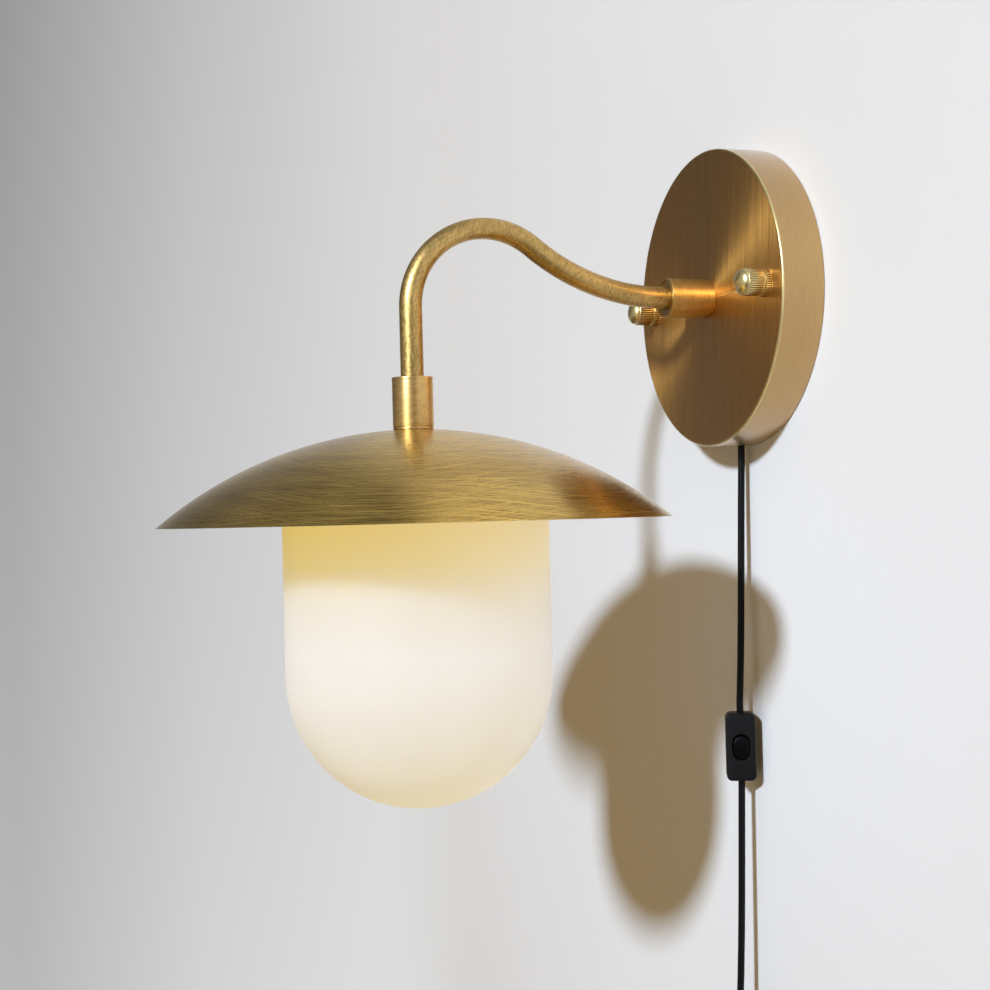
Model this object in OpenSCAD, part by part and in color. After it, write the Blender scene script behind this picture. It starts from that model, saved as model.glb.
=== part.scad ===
// Plug-in wall lamp: round wall plate, swan-neck arm, spun dome shade and opal glass,
// with an in-line switch on a thin cord that ends in a coil and its plug.
// Millimetres. The wall is the plane y = 0 and the lamp stands out of it along -Y.
// X runs along the wall and Z is up. The origin is the middle of the wall plate, on the wall.

/* [Wall plate] */
// Outer diameter of the wall plate
plate_d = 127; // [124:1:150]
// Depth of the wall plate, from the wall to its face
plate_depth = 19; // [18:0.5:24]
// Thickness of the plate's sheet brass
plate_wall = 1.2; // [0.8:0.1:1.6]
// Bevel round the edge of the plate's face
plate_bevel = 0.6; // [0.3:0.1:0.8]
// Distance of the cord's hole from the wall
cord_hole_off = 4.2; // [4:0.1:6]

/* [Wall strap and cap nuts] */
// Distance between the two cap nuts
nut_spacing = 100; // [98:1:102]
// Width of the steel strap
strap_w = 16; // [12:1:18]
// Thickness of the strap
strap_t = 1.8; // [1.2:0.1:2.2]
// Height by which the strap's ends stand off the wall
strap_rise = 3.4; // [2.8:0.1:4]
// How far the strap runs past each stud
strap_end = 8; // [6:0.5:8]
// Distance between the middles of the two wall screw slots
slot_spacing = 64; // [56:1:66]
// Width of a wall screw slot
slot_w = 4.6; // [4:0.1:5.4]
// Length of a wall screw slot, end to end
slot_len = 12; // [8:0.5:13]
// Diameter of the threaded studs
stud_d = 3.9; // [3.5:0.1:4.4]
// Diameter of a stud's head
stud_head_d = 7.2; // [6.4:0.1:8]
// Height of a stud's head
stud_head_h = 2.2; // [1.6:0.1:2.4]
// Length by which a stud stands out of the plate's face
stud_out = 9; // [7:0.5:9.5]
// Diameter of a cap nut over its knurl
nut_d = 11.3; // [10:0.1:13]
// Length of the cap nut's long knurl
nut_knurl_len = 6.8; // [5:0.1:8]
// Length of the cap nut's domed nose
nut_nose_len = 3.1; // [2.6:0.1:4]
// Thickness of the cap nut's foot ring
nut_foot_len = 2.6; // [2:0.1:3]
// Number of ridges round a cap nut
nut_ridges = 40; // [32:2:48]
// Depth of the knurl's grooves
knurl_depth = 0.35; // [0.2:0.05:0.5]

/* [Arm] */
// Reach from the wall to the axis of the shade
reach = 152.7; // [148:0.1:158]
// Outer diameter of the arm tube
arm_d = 9.4; // [8.8:0.1:9.8]
// Wall thickness of the arm tube
arm_wall = 0.75; // [0.6:0.05:0.9]
// Radius of the top bend
top_bend_r = 33; // [31:0.5:35]
// Radius of the low bend next to the plate
low_bend_r = 95; // [85:1:100]
// Steepest slope of the arm, where its two bends meet, in degrees
arm_slope = 37.6; // [36:0.1:38.5]

/* [Collars] */
// Diameter of the two turned collars
collar_d = 16.5; // [15:0.1:17.5]
// Length of a collar
collar_len = 20; // [18:0.5:22]
// Height by which a collar's lip stands proud
collar_lip = 0.25; // [0.1:0.05:0.4]
// Width of a collar's lip
collar_lip_w = 1.1; // [0.8:0.1:1.6]
// Depth of the dish in a collar's mouth
collar_dish = 0.8; // [0.4:0.1:1.2]
// Thickness of the end wall of a collar
collar_end_wall = 3; // [2:0.1:4]
// Wall thickness of a collar
collar_wall = 1.3; // [1:0.1:1.6]

/* [Shade] */
// Distance of the shade's top below the middle of the plate
shade_drop = 55.6; // [54:0.1:60]
// Diameter of the shade's rim
shade_d = 205; // [190:1:215]
// Radius of the sphere that the shade is spun to
shade_sphere_r = 160; // [150:1:180]
// Thickness of the shade's sheet brass
shade_wall = 1; // [0.8:0.1:1.2]
// Thickness of the washer under the shade's collar
shade_washer_t = 1; // [0.8:0.1:1.4]

/* [Glass and its holder] */
// Outer diameter of the opal glass
glass_d = 106.8; // [100:0.2:112]
// Distance from the shade's top to the middle of the glass's round end
glass_drop = 97.5; // [90:0.5:104]
// Wall thickness of the glass
glass_wall = 3; // [2.5:0.1:3.4]
// Outer diameter of the glass's neck
neck_d = 56; // [55:0.2:57]
// Length of the glass's neck
neck_len = 15.5; // [15:0.5:17]
// Radius of the glass's shoulder
shoulder_r = 14; // [10:0.5:15]
// Room between the neck and the holder's skirt
neck_room = 1; // [0.6:0.1:1.4]
// Thickness of the holder's sheet
holder_wall = 1; // [0.8:0.1:1.2]
// Depth of the holder's skirt
skirt_len = 14; // [13:0.5:15]
// Thickness of the rubber ring above the glass
ring_t = 0.8; // [0.6:0.1:1]
// Diameter of the thumbscrews' shanks
thumb_d = 3; // [2.6:0.1:3.4]
// Diameter of the thumbscrews' knurled heads
thumb_head_d = 7.6; // [7:0.1:8]
// Length of the thumbscrews' heads
thumb_head_len = 6; // [5:0.5:7]
// Travel of a thumbscrew, from tight to the last of its thread
thumb_travel = 2.5; // [2:0.1:3]
// Distance of the thumbscrews' axes below the skirt's top
thumb_drop = 8; // [7.6:0.1:8.6]

/* [Lamp holder and bulb] */
// Outer diameter of the lamp holder's cap
holder_cap_d = 36; // [34:0.5:40]
// Height of the lamp holder's cap
holder_cap_h = 11; // [10:0.5:12]
// Outer diameter of the lamp holder's sleeve
sleeve_d = 33; // [31:0.5:35]
// Length of the lamp holder's sleeve
sleeve_len = 32; // [30:0.5:34]
// Bore of the brass screw shell
shell_bore_d = 26.6; // [26.4:0.1:27]
// Wall thickness of the screw shell
shell_wall = 0.5; // [0.4:0.05:0.7]
// Diameter of the round bulb
bulb_d = 45; // [43:0.5:46]
// Distance of the bulb's middle below the lamp holder's sleeve
bulb_drop = 33; // [31:0.5:36]
// Radial room between the bulb's cap and the screw shell
bulb_fit = 0.06; // [0.03:0.01:0.1]

/* [Nipples and nuts] */
// Outer diameter of the threaded nipples
nipple_d = 7.8; // [7:0.1:7.85]
// Bore of the nipples
nipple_bore = 5; // [4.4:0.1:5.4]
// Width of the lock nuts across their flats
lock_nut_af = 13; // [12:0.5:14]
// Thickness of the lock nuts
lock_nut_t = 3.2; // [2.6:0.1:3.2]
// Thickness of the lock washer behind the plate
lock_washer_t = 0.9; // [0.6:0.1:1.2]
// Room between a thread and its hole
thread_room = 0.05; // [0.02:0.01:0.1]
// Room between a piece and the hole that it passes through
hole_room = 0.2; // [0.1:0.05:0.4]

/* [Cord] */
// Diameter of the cord
cord_d = 3; // [2.8:0.1:3.2]
// Diameter of one insulated lead in the arm
lead_d = 1.5; // [1.2:0.1:1.8]
// Diameter of the grommet's body, which fills the plate's hole
grommet_d = 5; // [4.6:0.1:5.4]
// Diameter of the grommet's inner flange
grommet_flange_d = 7.6; // [7:0.1:7.8]

/* [Switch] */
// Width of the switch
switch_w = 12.8; // [12:0.2:14]
// Height of the switch
switch_h = 28.9; // [27:0.5:32]
// Thickness of the switch
switch_t = 10.8; // [10:0.2:11]
// Corner radius of the switch
switch_r = 2.4; // [1.8:0.1:3]
// Bevel round the switch's face
switch_bevel = 0.7; // [0.4:0.1:1]
// Wall thickness of the switch's shells
switch_wall = 1.4; // [1.2:0.1:1.8]
// Direction that the switch faces, in degrees from straight out of the wall
switch_turn = 63.4; // [55:0.2:70]
// Width of the rocker
rocker_w = 6.6; // [6:0.1:7]
// Height of the rocker
rocker_h = 10.4; // [9.6:0.1:11]
// Angle that the rocker tilts, end to end, in degrees
rocker_swing = 14; // [10:1:16]
// Room all round the rocker
rocker_room = 0.35; // [0.25:0.05:0.5]

/* [Coil and plug] */
// Middle radius of the coil's outermost turns
coil_out_r = 24; // [23:0.5:26]
// Spacing of the coil's turns and layers
coil_pitch = 3.5; // [3.45:0.05:3.6]
// Width of the tie round the coil
tie_w = 5; // [4:0.5:7]
// Thickness of the tie
tie_t = 0.8; // [0.6:0.1:1]
// Room between the tie and the turns inside it
tie_room = 0.3; // [0.2:0.05:0.4]
// Width of the plug's body
plug_w = 24; // [23:0.5:27]
// Thickness of the plug's body
plug_t = 13; // [12:0.5:15]
// Length of the plug's body
plug_len = 23; // [20:0.5:28]
// Distance between the plug's blades
blade_spacing = 12.7; // [12.5:0.1:12.9]
// Width of a blade
blade_w = 6.35; // [6.2:0.05:6.5]
// Thickness of a blade
blade_t = 1.5; // [1.4:0.05:1.65]
// Length of a blade outside the plug
blade_len = 16; // [15:0.5:18]

/* [Hidden] */
$fn = 96;

// Fineness of the shade, which is wide and thin
shade_fn = 200;
// A small overlap that makes cuts run clean through
eps = 0.5;
// Gap left where a moving piece stands next to its seat
seat_gap = 0.25;

// Brass of the plate, arm and shade, and the other colours
brass = [0.62, 0.47, 0.26];
bright_brass = [0.80, 0.63, 0.33];
steel = [0.72, 0.73, 0.75];
opal = [0.96, 0.94, 0.88];
black = [0.07, 0.07, 0.08];
ceramic = [0.90, 0.89, 0.86];

// Wall plate and the stack through its middle
plate_r = plate_d / 2;
nipple_r = nipple_d / 2;
thread_r = nipple_r + thread_room;
pass_r = nipple_r + hole_room;
plate_inner_y = plate_depth - plate_wall;
lock_washer_y = plate_inner_y - lock_washer_t;
lock_nut_y = lock_washer_y - lock_nut_t;
arm_nipple_back = lock_nut_y - 2;
nipple_grip = 12;
stud_x = nut_spacing / 2;
stud_end = plate_depth + stud_out;
nut_r = nut_d / 2;
nut_foot_r = nut_r + 0.35;
nut_neck_r = nut_r - 0.7;
nut_neck_len = 0.7;
collar_r = collar_d / 2;
arm_r = arm_d / 2;

// Middles of the arm's two bends in the plane x = 0, as [y, z]
bend_sum = low_bend_r + top_bend_r;
top_c = [top_bend_r - reach, bend_sum * (1 - cos(arm_slope)) - top_bend_r];
low_c = [top_c[0] + bend_sum * sin(arm_slope), low_bend_r];
arm_foot_y = -plate_depth;
arm_tip_z = shade_washer_t - shade_drop;

// Stack under the shade, downwards from its top
shade_top = -shade_drop;
shade_c = shade_top - shade_sphere_r;
shade_rim_r = shade_d / 2;
shade_rim_z = shade_c + sqrt(shade_sphere_r * shade_sphere_r - shade_rim_r * shade_rim_r);
under_nut_top = shade_top - shade_wall - seat_gap;
holder_top = under_nut_top - lock_nut_t;
holder_under = holder_top - holder_wall;
skirt_r = neck_d / 2 + neck_room;
skirt_bottom = holder_top - skirt_len;
glass_top = holder_under - ring_t - seat_gap;
glass_r = glass_d / 2;
neck_r = neck_d / 2;
shoulder_top = glass_top - neck_len;
glass_c = shade_top - glass_drop;
thumb_z = holder_top - thumb_drop;
thumb_tip_r = neck_r + seat_gap + 0.05;
boss_r = 2.6;
boss_end_r = thumb_tip_r + thumb_travel + 0.6;
sleeve_top = holder_under - holder_cap_h;
sleeve_bottom = sleeve_top - sleeve_len;
shell_r = shell_bore_d / 2;
bulb_cap_r = shell_r - bulb_fit;
bulb_c = sleeve_bottom - bulb_drop;
bulb_r = bulb_d / 2;
lower_nipple_end = holder_under - 6;
sleeve_floor = 3;
rivet_r = 1.5;
rivet_head_h = 0.8;
contact_drop = 2.4;
bulb_cap_len = 25;
bulb_cap_z = sleeve_top - sleeve_floor - contact_drop - seat_gap - bulb_cap_len;

// Cord hole and the cord's route down the wall, as [x, y, z] points chosen by hand.
// The routes outside the plate are counted from the cord's hole and from the switch.
cord_r = cord_d / 2;
cord_exit = [0, -cord_hole_off, -plate_r];
inside_route = [
  cord_exit, cord_exit + [0, 0, 5.5], cord_exit + [0, -0.4, 11.5],
  [0, -6, -45], [0, -7.6, -38], [0, -8, -31]
];
switch_place = cord_exit + [0, -4.1, -129.5];
upper_drop = [
  [0, 0, 0], [0, 0, -5.5], [0, -0.4, -16.5], [0, -1.1, -36.5], [0, -1.9, -61.5],
  [0, -2.8, -86.5], [0, -3.7, -104.5], [0, -4, -109.5]
];
lower_drop = [
  [0, -0.1, -19], [0, -0.4, -29], [0, -1.1, -52], [0, -1.9, -75], [0, -2.9, -97],
  [0, -3.5, -107], [0, -4, -113], [0.1, -4.3, -116.6], [1.1, -4.6, -121.4],
  [3.8, -4.8, -125.2], [7.6, -4.9, -127.9], [12, -4.9, -129]
];
upper_route = concat(
  [for (p = upper_drop) cord_exit + p],
  [switch_place + [0, 0, switch_h / 2 + 0.05]]
);
lower_route = concat(
  [switch_place - [0, 0, switch_h / 2 - 0.05]],
  [for (p = lower_drop) switch_place + p]
);
cord_rings = 3;
cord_sides = 8;

// Leads from the end of the cord's sheath, through the arm, to the lamp holder
lead_off = 1;
lead_bend_steps = 10;
lead_start = [
  [0, -8, -31], [0, -8, -26], [0, -7.6, -18], [0, -6.6, -10], [0, -6.4, -4.6], [0, -8.2, -1.2],
  [0, -11.4, 0], [0, -16, 0]
];
lead_arm = concat(
  [for (i = [0:lead_bend_steps])
    let (a = arm_slope * i / lead_bend_steps)
    [0, low_c[0] - low_bend_r * sin(a), low_c[1] - low_bend_r * cos(a)]],
  [for (i = [0:lead_bend_steps])
    let (a = arm_slope - (90 + arm_slope) * i / lead_bend_steps)
    [0, top_c[0] + top_bend_r * sin(a), top_c[1] + top_bend_r * cos(a)]]
);
lead_end = [
  [0, -reach, -30], [0, -reach, -50], [0, -reach, sleeve_top + rivet_head_h + seat_gap]
];

// Coil: four layers of turns that spiral in and out at a steady rate, the first one in front
// and the last next to the wall. The last turn runs straight down into the plug.
coil_layer_turns = 3.3125;
coil_layers = 4;
coil_turns = coil_layers * coil_layer_turns;
coil_start = lower_route[len(lower_route) - 1];
coil_top = coil_start + [cord_d, 0, 0];
coil_c = [coil_top[0], coil_top[1], coil_top[2] - coil_out_r];
coil_in_r = coil_out_r - coil_layer_turns * coil_pitch;
coil_steps = 24;
coil_sides = 6;
coil_depth = (coil_layers - 1) * coil_pitch;
coil_leave = [coil_c[0] + coil_out_r, coil_c[1] + coil_depth, coil_c[2]];
coil_lead_out = [[0, 0, -5], [0, -0.6, -10], [0, -2.8, -15], [0, -5, -20], [0, -5.6, -25], [0, -5.6, -28]];
coil_end = coil_leave + coil_lead_out[len(coil_lead_out) - 1];

// Plug under the coil
relief_len = 12;
plug_bottom = coil_end[2] - relief_len - plug_len;

function unit(v) = v / norm(v);

// A smooth step from 0 to 1
function ease(t) = t * t * (3 - 2 * t);

// A smooth curve through hand-set points, with n steps from each point to the next
function curve_at(a, b, c, d, t) =
  0.5 * (2 * b + (c - a) * t + (2 * a - 5 * b + 4 * c - d) * t * t
    + (3 * b - a - 3 * c + d) * t * t * t);
function smooth(p, n) =
  let (last = len(p) - 1)
  concat(
    [for (i = [0:last - 1], k = [0:n - 1])
      curve_at(p[max(i - 1, 0)], p[i], p[i + 1], p[min(i + 2, last)], k / n)],
    [p[last]]
  );

// Layer that the coil's strand lies on after t turns, climbing in the half turn at each reversal
climb_turns = 0.5;
function coil_layer(t) =
  let (k = round(t / coil_layer_turns), from = t - k * coil_layer_turns + climb_turns / 2)
  k <= 0 || k >= coil_layers
    ? (k <= 0 ? 0 : coil_layers - 1)
    : k - 1 + ease(min(max(from / climb_turns, 0), 1));

// Radius of the strand after t turns: in, out, in and out again
function coil_radius(t) =
  let (u = t / coil_layer_turns, k = min(floor(u), coil_layers - 1), f = u - k)
  k % 2 == 0
    ? coil_out_r - f * (coil_out_r - coil_in_r)
    : coil_in_r + f * (coil_out_r - coil_in_r);

function coil_point(t) =
  let (r = coil_radius(t), a = 360 * t)
  [coil_c[0] + r * sin(a), coil_c[1] + coil_layer(t) * coil_pitch, coil_c[2] + r * cos(a)];

coil_rings = round(coil_turns * coil_steps);
coil_path = concat(
  [coil_start],
  [for (i = [0:coil_rings]) coil_point(coil_turns * i / coil_rings)],
  [for (p = coil_lead_out) coil_leave + p]
);

// Least distance between the surfaces of turns that pass each other, measured on points
coil_near = [
  for (i = [0:3:len(coil_path) - 1], j = [i + 12:1:len(coil_path) - 1])
    norm(coil_path[i] - coil_path[j])
];
union() {  // cord_coil
  echo(least_gap_in_coil = min(coil_near) - cord_d);
}

// A tube through the points of a path, closed at both ends
module tube_along(path, radius, sides, side_dir) {
  last = len(path) - 1;
  rings = [
    for (i = [0:last])
      let (
        t = unit(path[min(i + 1, last)] - path[max(i - 1, 0)]),
        u = unit(cross(t, side_dir)),
        v = cross(t, u)
      )
      for (k = [0:sides - 1])
        path[i] + radius * (cos(360 * k / sides) * u + sin(360 * k / sides) * v)
  ];
  skin = [
    for (i = [0:last - 1], k = [0:sides - 1])
      let (a = i * sides + k, b = i * sides + (k + 1) % sides)
      each [[a, b, a + sides], [b, b + sides, a + sides]]
  ];
  near_cap = [for (k = [1:sides - 2]) [0, k + 1, k]];
  far_cap = [for (k = [1:sides - 2]) [last * sides, last * sides + k, last * sides + k + 1]];
  polyhedron(rings, concat(skin, near_cap, far_cap));
}

// Frames that the pieces are drawn in

// Pieces on the plate are drawn upright and laid so that up becomes out of the wall
module out_of_wall(x = 0) translate([x, 0, 0]) rotate([90, 0, 0]) children();

module on_shade_axis() translate([0, -reach, 0]) children();

// The switch stands on the cord with its face turned towards the room
module on_switch() translate(switch_place) rotate([0, 0, switch_turn]) children();

module ring(r_out, r_in, h) {
  difference() {
    cylinder(r = r_out, h = h);
    translate([0, 0, -eps]) cylinder(r = r_in, h = h + 2 * eps);
  }
}

// A straight-knurled bar: ridges along its axis
module knurled(r, ridges, h) {
  linear_extrude(height = h)
    polygon([
      for (i = [0:2 * ridges - 1])
        let (rr = r - (i % 2) * knurl_depth, a = 180 * i / ridges)
        [rr * cos(a), rr * sin(a)]
    ]);
}

module hex_nut(af, bore_r, h) {
  difference() {
    cylinder(r = af / sqrt(3), h = h, $fn = 6);
    translate([0, 0, -eps]) cylinder(r = bore_r, h = h + 2 * eps);
  }
}

module nipple(length) {
  ring(nipple_r, nipple_bore / 2, length);
}

// Wall plate: a shallow drawn cup, open towards the wall
module back_plate() {
  color(brass)
    difference() {
      out_of_wall()
        difference() {
          union() {
            cylinder(r = plate_r, h = plate_depth - plate_bevel);
            translate([0, 0, plate_depth - plate_bevel])
              cylinder(r1 = plate_r, r2 = plate_r - plate_bevel, h = plate_bevel);
          }
          translate([0, 0, -eps])
            cylinder(r = plate_r - plate_wall, h = plate_inner_y + eps);
          cylinder(r = pass_r, h = plate_depth + eps);
          for (x = [-stud_x, stud_x])
            translate([x, 0, 0]) cylinder(r = stud_d / 2 + hole_room, h = plate_depth + eps);
        }
      translate([0, -cord_hole_off, -plate_r - eps])
        cylinder(r = grommet_d / 2, h = plate_wall + 2 * eps);
    }
}

// Steel strap that is screwed to the wall, with its ends bent up for the studs
module wall_strap() {
  half = stud_x + strap_end;
  ramp = 3;
  flat_half = stud_x - stud_head_d / 2 - 2 - ramp;
  top = strap_rise + strap_t;
  color(steel)
    intersection() {
      rotate([180, 0, 0])
        linear_extrude(height = strap_w, center = true)
          polygon([
            [-flat_half, 0], [flat_half, 0], [flat_half + ramp, strap_rise], [half, strap_rise],
            [half, top], [flat_half + ramp, top], [flat_half, strap_t], [-flat_half, strap_t],
            [-flat_half - ramp, top], [-half, top], [-half, strap_rise],
            [-flat_half - ramp, strap_rise]
          ]);
      out_of_wall()
        difference() {
          union() {
            translate([-stud_x, -strap_w / 2, -eps]) cube([2 * stud_x, strap_w, top + 2 * eps]);
            for (x = [-stud_x, stud_x])
              translate([x, 0, -eps]) cylinder(r = strap_end, h = top + 2 * eps);
          }
          for (x = [-stud_x, stud_x])
            translate([x, 0, -2 * eps])
              cylinder(r = stud_d / 2 + thread_room, h = top + 4 * eps);
          for (x = [-slot_spacing / 2, slot_spacing / 2])
            translate([x, 0, -2 * eps]) wall_slot(top + 4 * eps);
        }
    }
}

// A long hole with round ends
module wall_slot(h) {
  run = slot_len - slot_w;
  for (x = [-run / 2, run / 2])
    translate([x, 0, 0]) cylinder(r = slot_w / 2, h = h);
  translate([-run / 2, -slot_w / 2, 0]) cube([run, slot_w, h]);
}

// The two machine screws that stand out of the strap and carry the cap nuts
module strap_studs() {
  head_z = strap_rise - stud_head_h;
  slot_width = 1;
  color(steel)
    for (x = [-stud_x, stud_x])
      out_of_wall(x)
        difference() {
          union() {
            translate([0, 0, head_z]) cylinder(r = stud_head_d / 2, h = stud_head_h);
            translate([0, 0, head_z]) cylinder(r = stud_d / 2, h = stud_end - head_z);
          }
          translate([-stud_head_d, -slot_width / 2, head_z - eps])
            cube([2 * stud_head_d, slot_width, stud_head_h / 2 + eps]);
        }
}

// Knurled cap nut with a foot ring, a thin neck, a long knurl and a domed nose
module cap_nut(x) {
  base_r = nut_r - knurl_depth - 0.05;
  nose_r = (base_r * base_r + nut_nose_len * nut_nose_len) / (2 * nut_nose_len);
  nose_z = nut_foot_len + nut_neck_len + nut_knurl_len;
  color(bright_brass)
    out_of_wall(x)
      translate([0, 0, plate_depth])
        difference() {
          union() {
            knurled(nut_foot_r, nut_ridges, nut_foot_len);
            cylinder(r = nut_neck_r, h = nose_z);
            translate([0, 0, nut_foot_len + nut_neck_len])
              knurled(nut_r, nut_ridges, nut_knurl_len);
            translate([0, 0, nose_z])
              rotate_extrude()
                intersection() {
                  translate([0, nut_nose_len - nose_r]) circle(r = nose_r);
                  square([nut_r, nut_nose_len + eps]);
                }
          }
          translate([0, 0, -eps])
            cylinder(r = stud_d / 2 + thread_room, h = stud_out + eps + seat_gap);
        }
}

// Turned collar, drawn with its foot at z = 0 and its dished mouth up
module collar(length) {
  foot_bevel = 0.3;
  dish_edge = 0.8;
  difference() {
    union() {
      cylinder(r1 = collar_r - foot_bevel, r2 = collar_r, h = foot_bevel);
      translate([0, 0, foot_bevel]) cylinder(r = collar_r, h = length - foot_bevel);
      translate([0, 0, length - collar_lip_w])
        cylinder(r = collar_r + collar_lip, h = collar_lip_w);
    }
    translate([0, 0, length - collar_dish])
      cylinder(r = collar_r - dish_edge, h = collar_dish + eps);
    translate([0, 0, -eps])
      cylinder(r = arm_r + hole_room, h = length + 2 * eps);
    translate([0, 0, -eps])
      cylinder(r = collar_r - collar_wall, h = length - collar_end_wall + eps);
  }
}

module plate_collar() {
  color(brass) out_of_wall() translate([0, 0, plate_depth]) collar(collar_len);
}

module shade_collar() {
  color(brass) on_shade_axis() translate([0, 0, arm_tip_z]) collar(collar_len);
}

// Threaded pipe that clamps the arm to the plate
module arm_nipple() {
  color(bright_brass)
    out_of_wall()
      translate([0, 0, arm_nipple_back]) nipple(plate_depth + nipple_grip - arm_nipple_back);
}

// Lock washer with teeth round its edge
module arm_lock_washer() {
  teeth = 12;
  tooth_w = 1.4;
  tooth_out = 0.6;
  r = lock_nut_af / 2;
  color(steel)
    out_of_wall()
      translate([0, 0, lock_washer_y])
        difference() {
          union() {
            cylinder(r = r - tooth_out, h = lock_washer_t);
            for (i = [0:teeth - 1])
              rotate([0, 0, 360 * i / teeth])
                translate([r - 2 * tooth_out, -tooth_w / 2, 0])
                  cube([3 * tooth_out, tooth_w, lock_washer_t]);
          }
          translate([0, 0, -eps]) cylinder(r = thread_r, h = lock_washer_t + 2 * eps);
        }
}

module arm_lock_nut() {
  color(bright_brass)
    out_of_wall()
      translate([0, 0, lock_nut_y]) hex_nut(lock_nut_af, thread_r, lock_nut_t);
}

// Places a piece in two moves, a round one and a small one, so that joints meet exactly
module placed(v) {
  coarse = [for (c = v) round(c * 100) / 100];
  translate(coarse) translate(v - coarse) children();
}

// A slice of a bent tube round z, from the x axis on
module bend(bend_r, turn) {
  rotate_extrude(angle = turn)
    translate([bend_r, 0])
      difference() {
        circle(r = arm_r);
        circle(r = arm_r - arm_wall);
      }
}

// Swan-neck arm: straight out of the plate, up one bend, over the other and straight down
module arm_tube() {
  r_in = arm_r - arm_wall;
  color(brass) {
    placed([0, low_c[0], 0]) rotate([-90, 0, 0]) ring(arm_r, r_in, arm_foot_y - low_c[0]);
    placed([0, low_c[0], low_c[1]]) rotate([0, 90, 0]) bend(low_bend_r, -arm_slope);
    placed([0, top_c[0], top_c[1]]) rotate([90, 0, -90]) bend(top_bend_r, 90 + arm_slope);
    placed([0, -reach, top_c[1]]) rotate([180, 0, 0]) ring(arm_r, r_in, top_c[1] - arm_tip_z);
  }
}

module shade_washer() {
  color(bright_brass)
    on_shade_axis()
      translate([0, 0, shade_top]) ring(collar_r, thread_r, shade_washer_t);
}

// Threaded pipe from inside the arm to the lamp holder
module shade_nipple() {
  color(bright_brass)
    on_shade_axis()
      translate([0, 0, lower_nipple_end]) nipple(arm_tip_z + nipple_grip - lower_nipple_end);
}

module shade_lock_nut() {
  color(bright_brass)
    on_shade_axis()
      translate([0, 0, holder_top]) hex_nut(lock_nut_af, thread_r, lock_nut_t);
}

// Dome shade: a thin cap of a sphere, trimmed flat at its rim
module dome_shade() {
  color(brass)
    on_shade_axis()
      difference() {
        translate([0, 0, shade_c]) sphere(r = shade_sphere_r, $fn = shade_fn);
        translate([0, 0, shade_c]) sphere(r = shade_sphere_r - shade_wall, $fn = shade_fn);
        translate([0, 0, shade_rim_z - 3 * shade_sphere_r])
          cylinder(r = 1.2 * shade_sphere_r, h = 3 * shade_sphere_r, $fn = shade_fn);
        translate([0, 0, shade_top - shade_wall - eps])
          cylinder(r = pass_r, h = shade_wall + 2 * eps);
      }
}

// Angles of the three thumbscrews round the shade's axis
thumb_angles = [90, 210, 330];

// Places a piece at a thumbscrew's axis, drawn outwards from the shade's axis
module at_thumb(a) rotate([0, 0, a]) translate([0, 0, thumb_z]) rotate([0, 90, 0]) children();

// Glass holder: a shallow cup whose skirt has a threaded boss for each of three thumbscrews
module glass_holder() {
  edge = 2;
  bead = 0.8;
  bead_h = 1;
  color(bright_brass)
    on_shade_axis()
      difference() {
        union() {
          translate([0, 0, skirt_bottom])
            rotate_extrude()
              difference() {
                union() {
                  square([skirt_r + holder_wall, skirt_len - edge]);
                  square([skirt_r + holder_wall - edge, skirt_len]);
                  translate([skirt_r + holder_wall - edge, skirt_len - edge]) circle(r = edge);
                  square([skirt_r + holder_wall + bead, bead_h]);
                }
                translate([0, -eps]) square([skirt_r, skirt_len - holder_wall + eps]);
                translate([-2 * skirt_r, -eps]) square([2 * skirt_r, skirt_len + 2 * eps]);
              }
          for (a = thumb_angles)
            at_thumb(a)
              translate([0, 0, skirt_r + holder_wall / 2])
                cylinder(r = boss_r, h = boss_end_r - skirt_r - holder_wall / 2);
        }
        translate([0, 0, holder_under - eps]) cylinder(r = pass_r, h = holder_wall + 2 * eps);
        for (a = thumb_angles)
          at_thumb(a)
            translate([0, 0, skirt_r - eps])
              cylinder(r = thumb_d / 2 + thread_room, h = boss_end_r - skirt_r + 2 * eps);
      }
}

module glass_ring() {
  color(black)
    on_shade_axis()
      translate([0, 0, holder_under - ring_t])
        ring(neck_r + neck_room / 2, neck_r - glass_wall - 0.5, ring_t);
}

// Thumbscrew with a knurled head, its tip just short of the glass's neck
module thumbscrew(a) {
  head = boss_end_r + seat_gap;
  ridges = 20;
  color(bright_brass)
    on_shade_axis()
      at_thumb(a) {
        translate([0, 0, thumb_tip_r]) cylinder(r = thumb_d / 2, h = head - thumb_tip_r);
        translate([0, 0, head]) knurled(thumb_head_d / 2, ridges, thumb_head_len);
      }
}

// Outline of the glass from its axis, drawn inwards by inset and closed at its round end
module glass_outline(inset) {
  r = glass_r - inset;
  top = shoulder_top - inset;
  corner = shoulder_r - inset;
  intersection() {
    union() {
      translate([0, glass_c]) circle(r = r);
      translate([0, glass_c]) square([r, top - corner - glass_c]);
      translate([0, glass_c]) square([r - corner, top - glass_c]);
      translate([r - corner, top - corner]) circle(r = corner);
      translate([0, glass_c]) square([neck_r - inset, glass_top - glass_c + (inset > 0 ? eps : 0)]);
    }
    translate([0, glass_c - 2 * glass_r]) square([2 * glass_r, 4 * glass_r]);
  }
}

// Opal glass: a blown cylinder with a round end, a shoulder and a short open neck
module opal_glass() {
  color(opal)
    on_shade_axis()
      rotate_extrude()
        difference() {
          glass_outline(0);
          glass_outline(glass_wall);
        }
}

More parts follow.
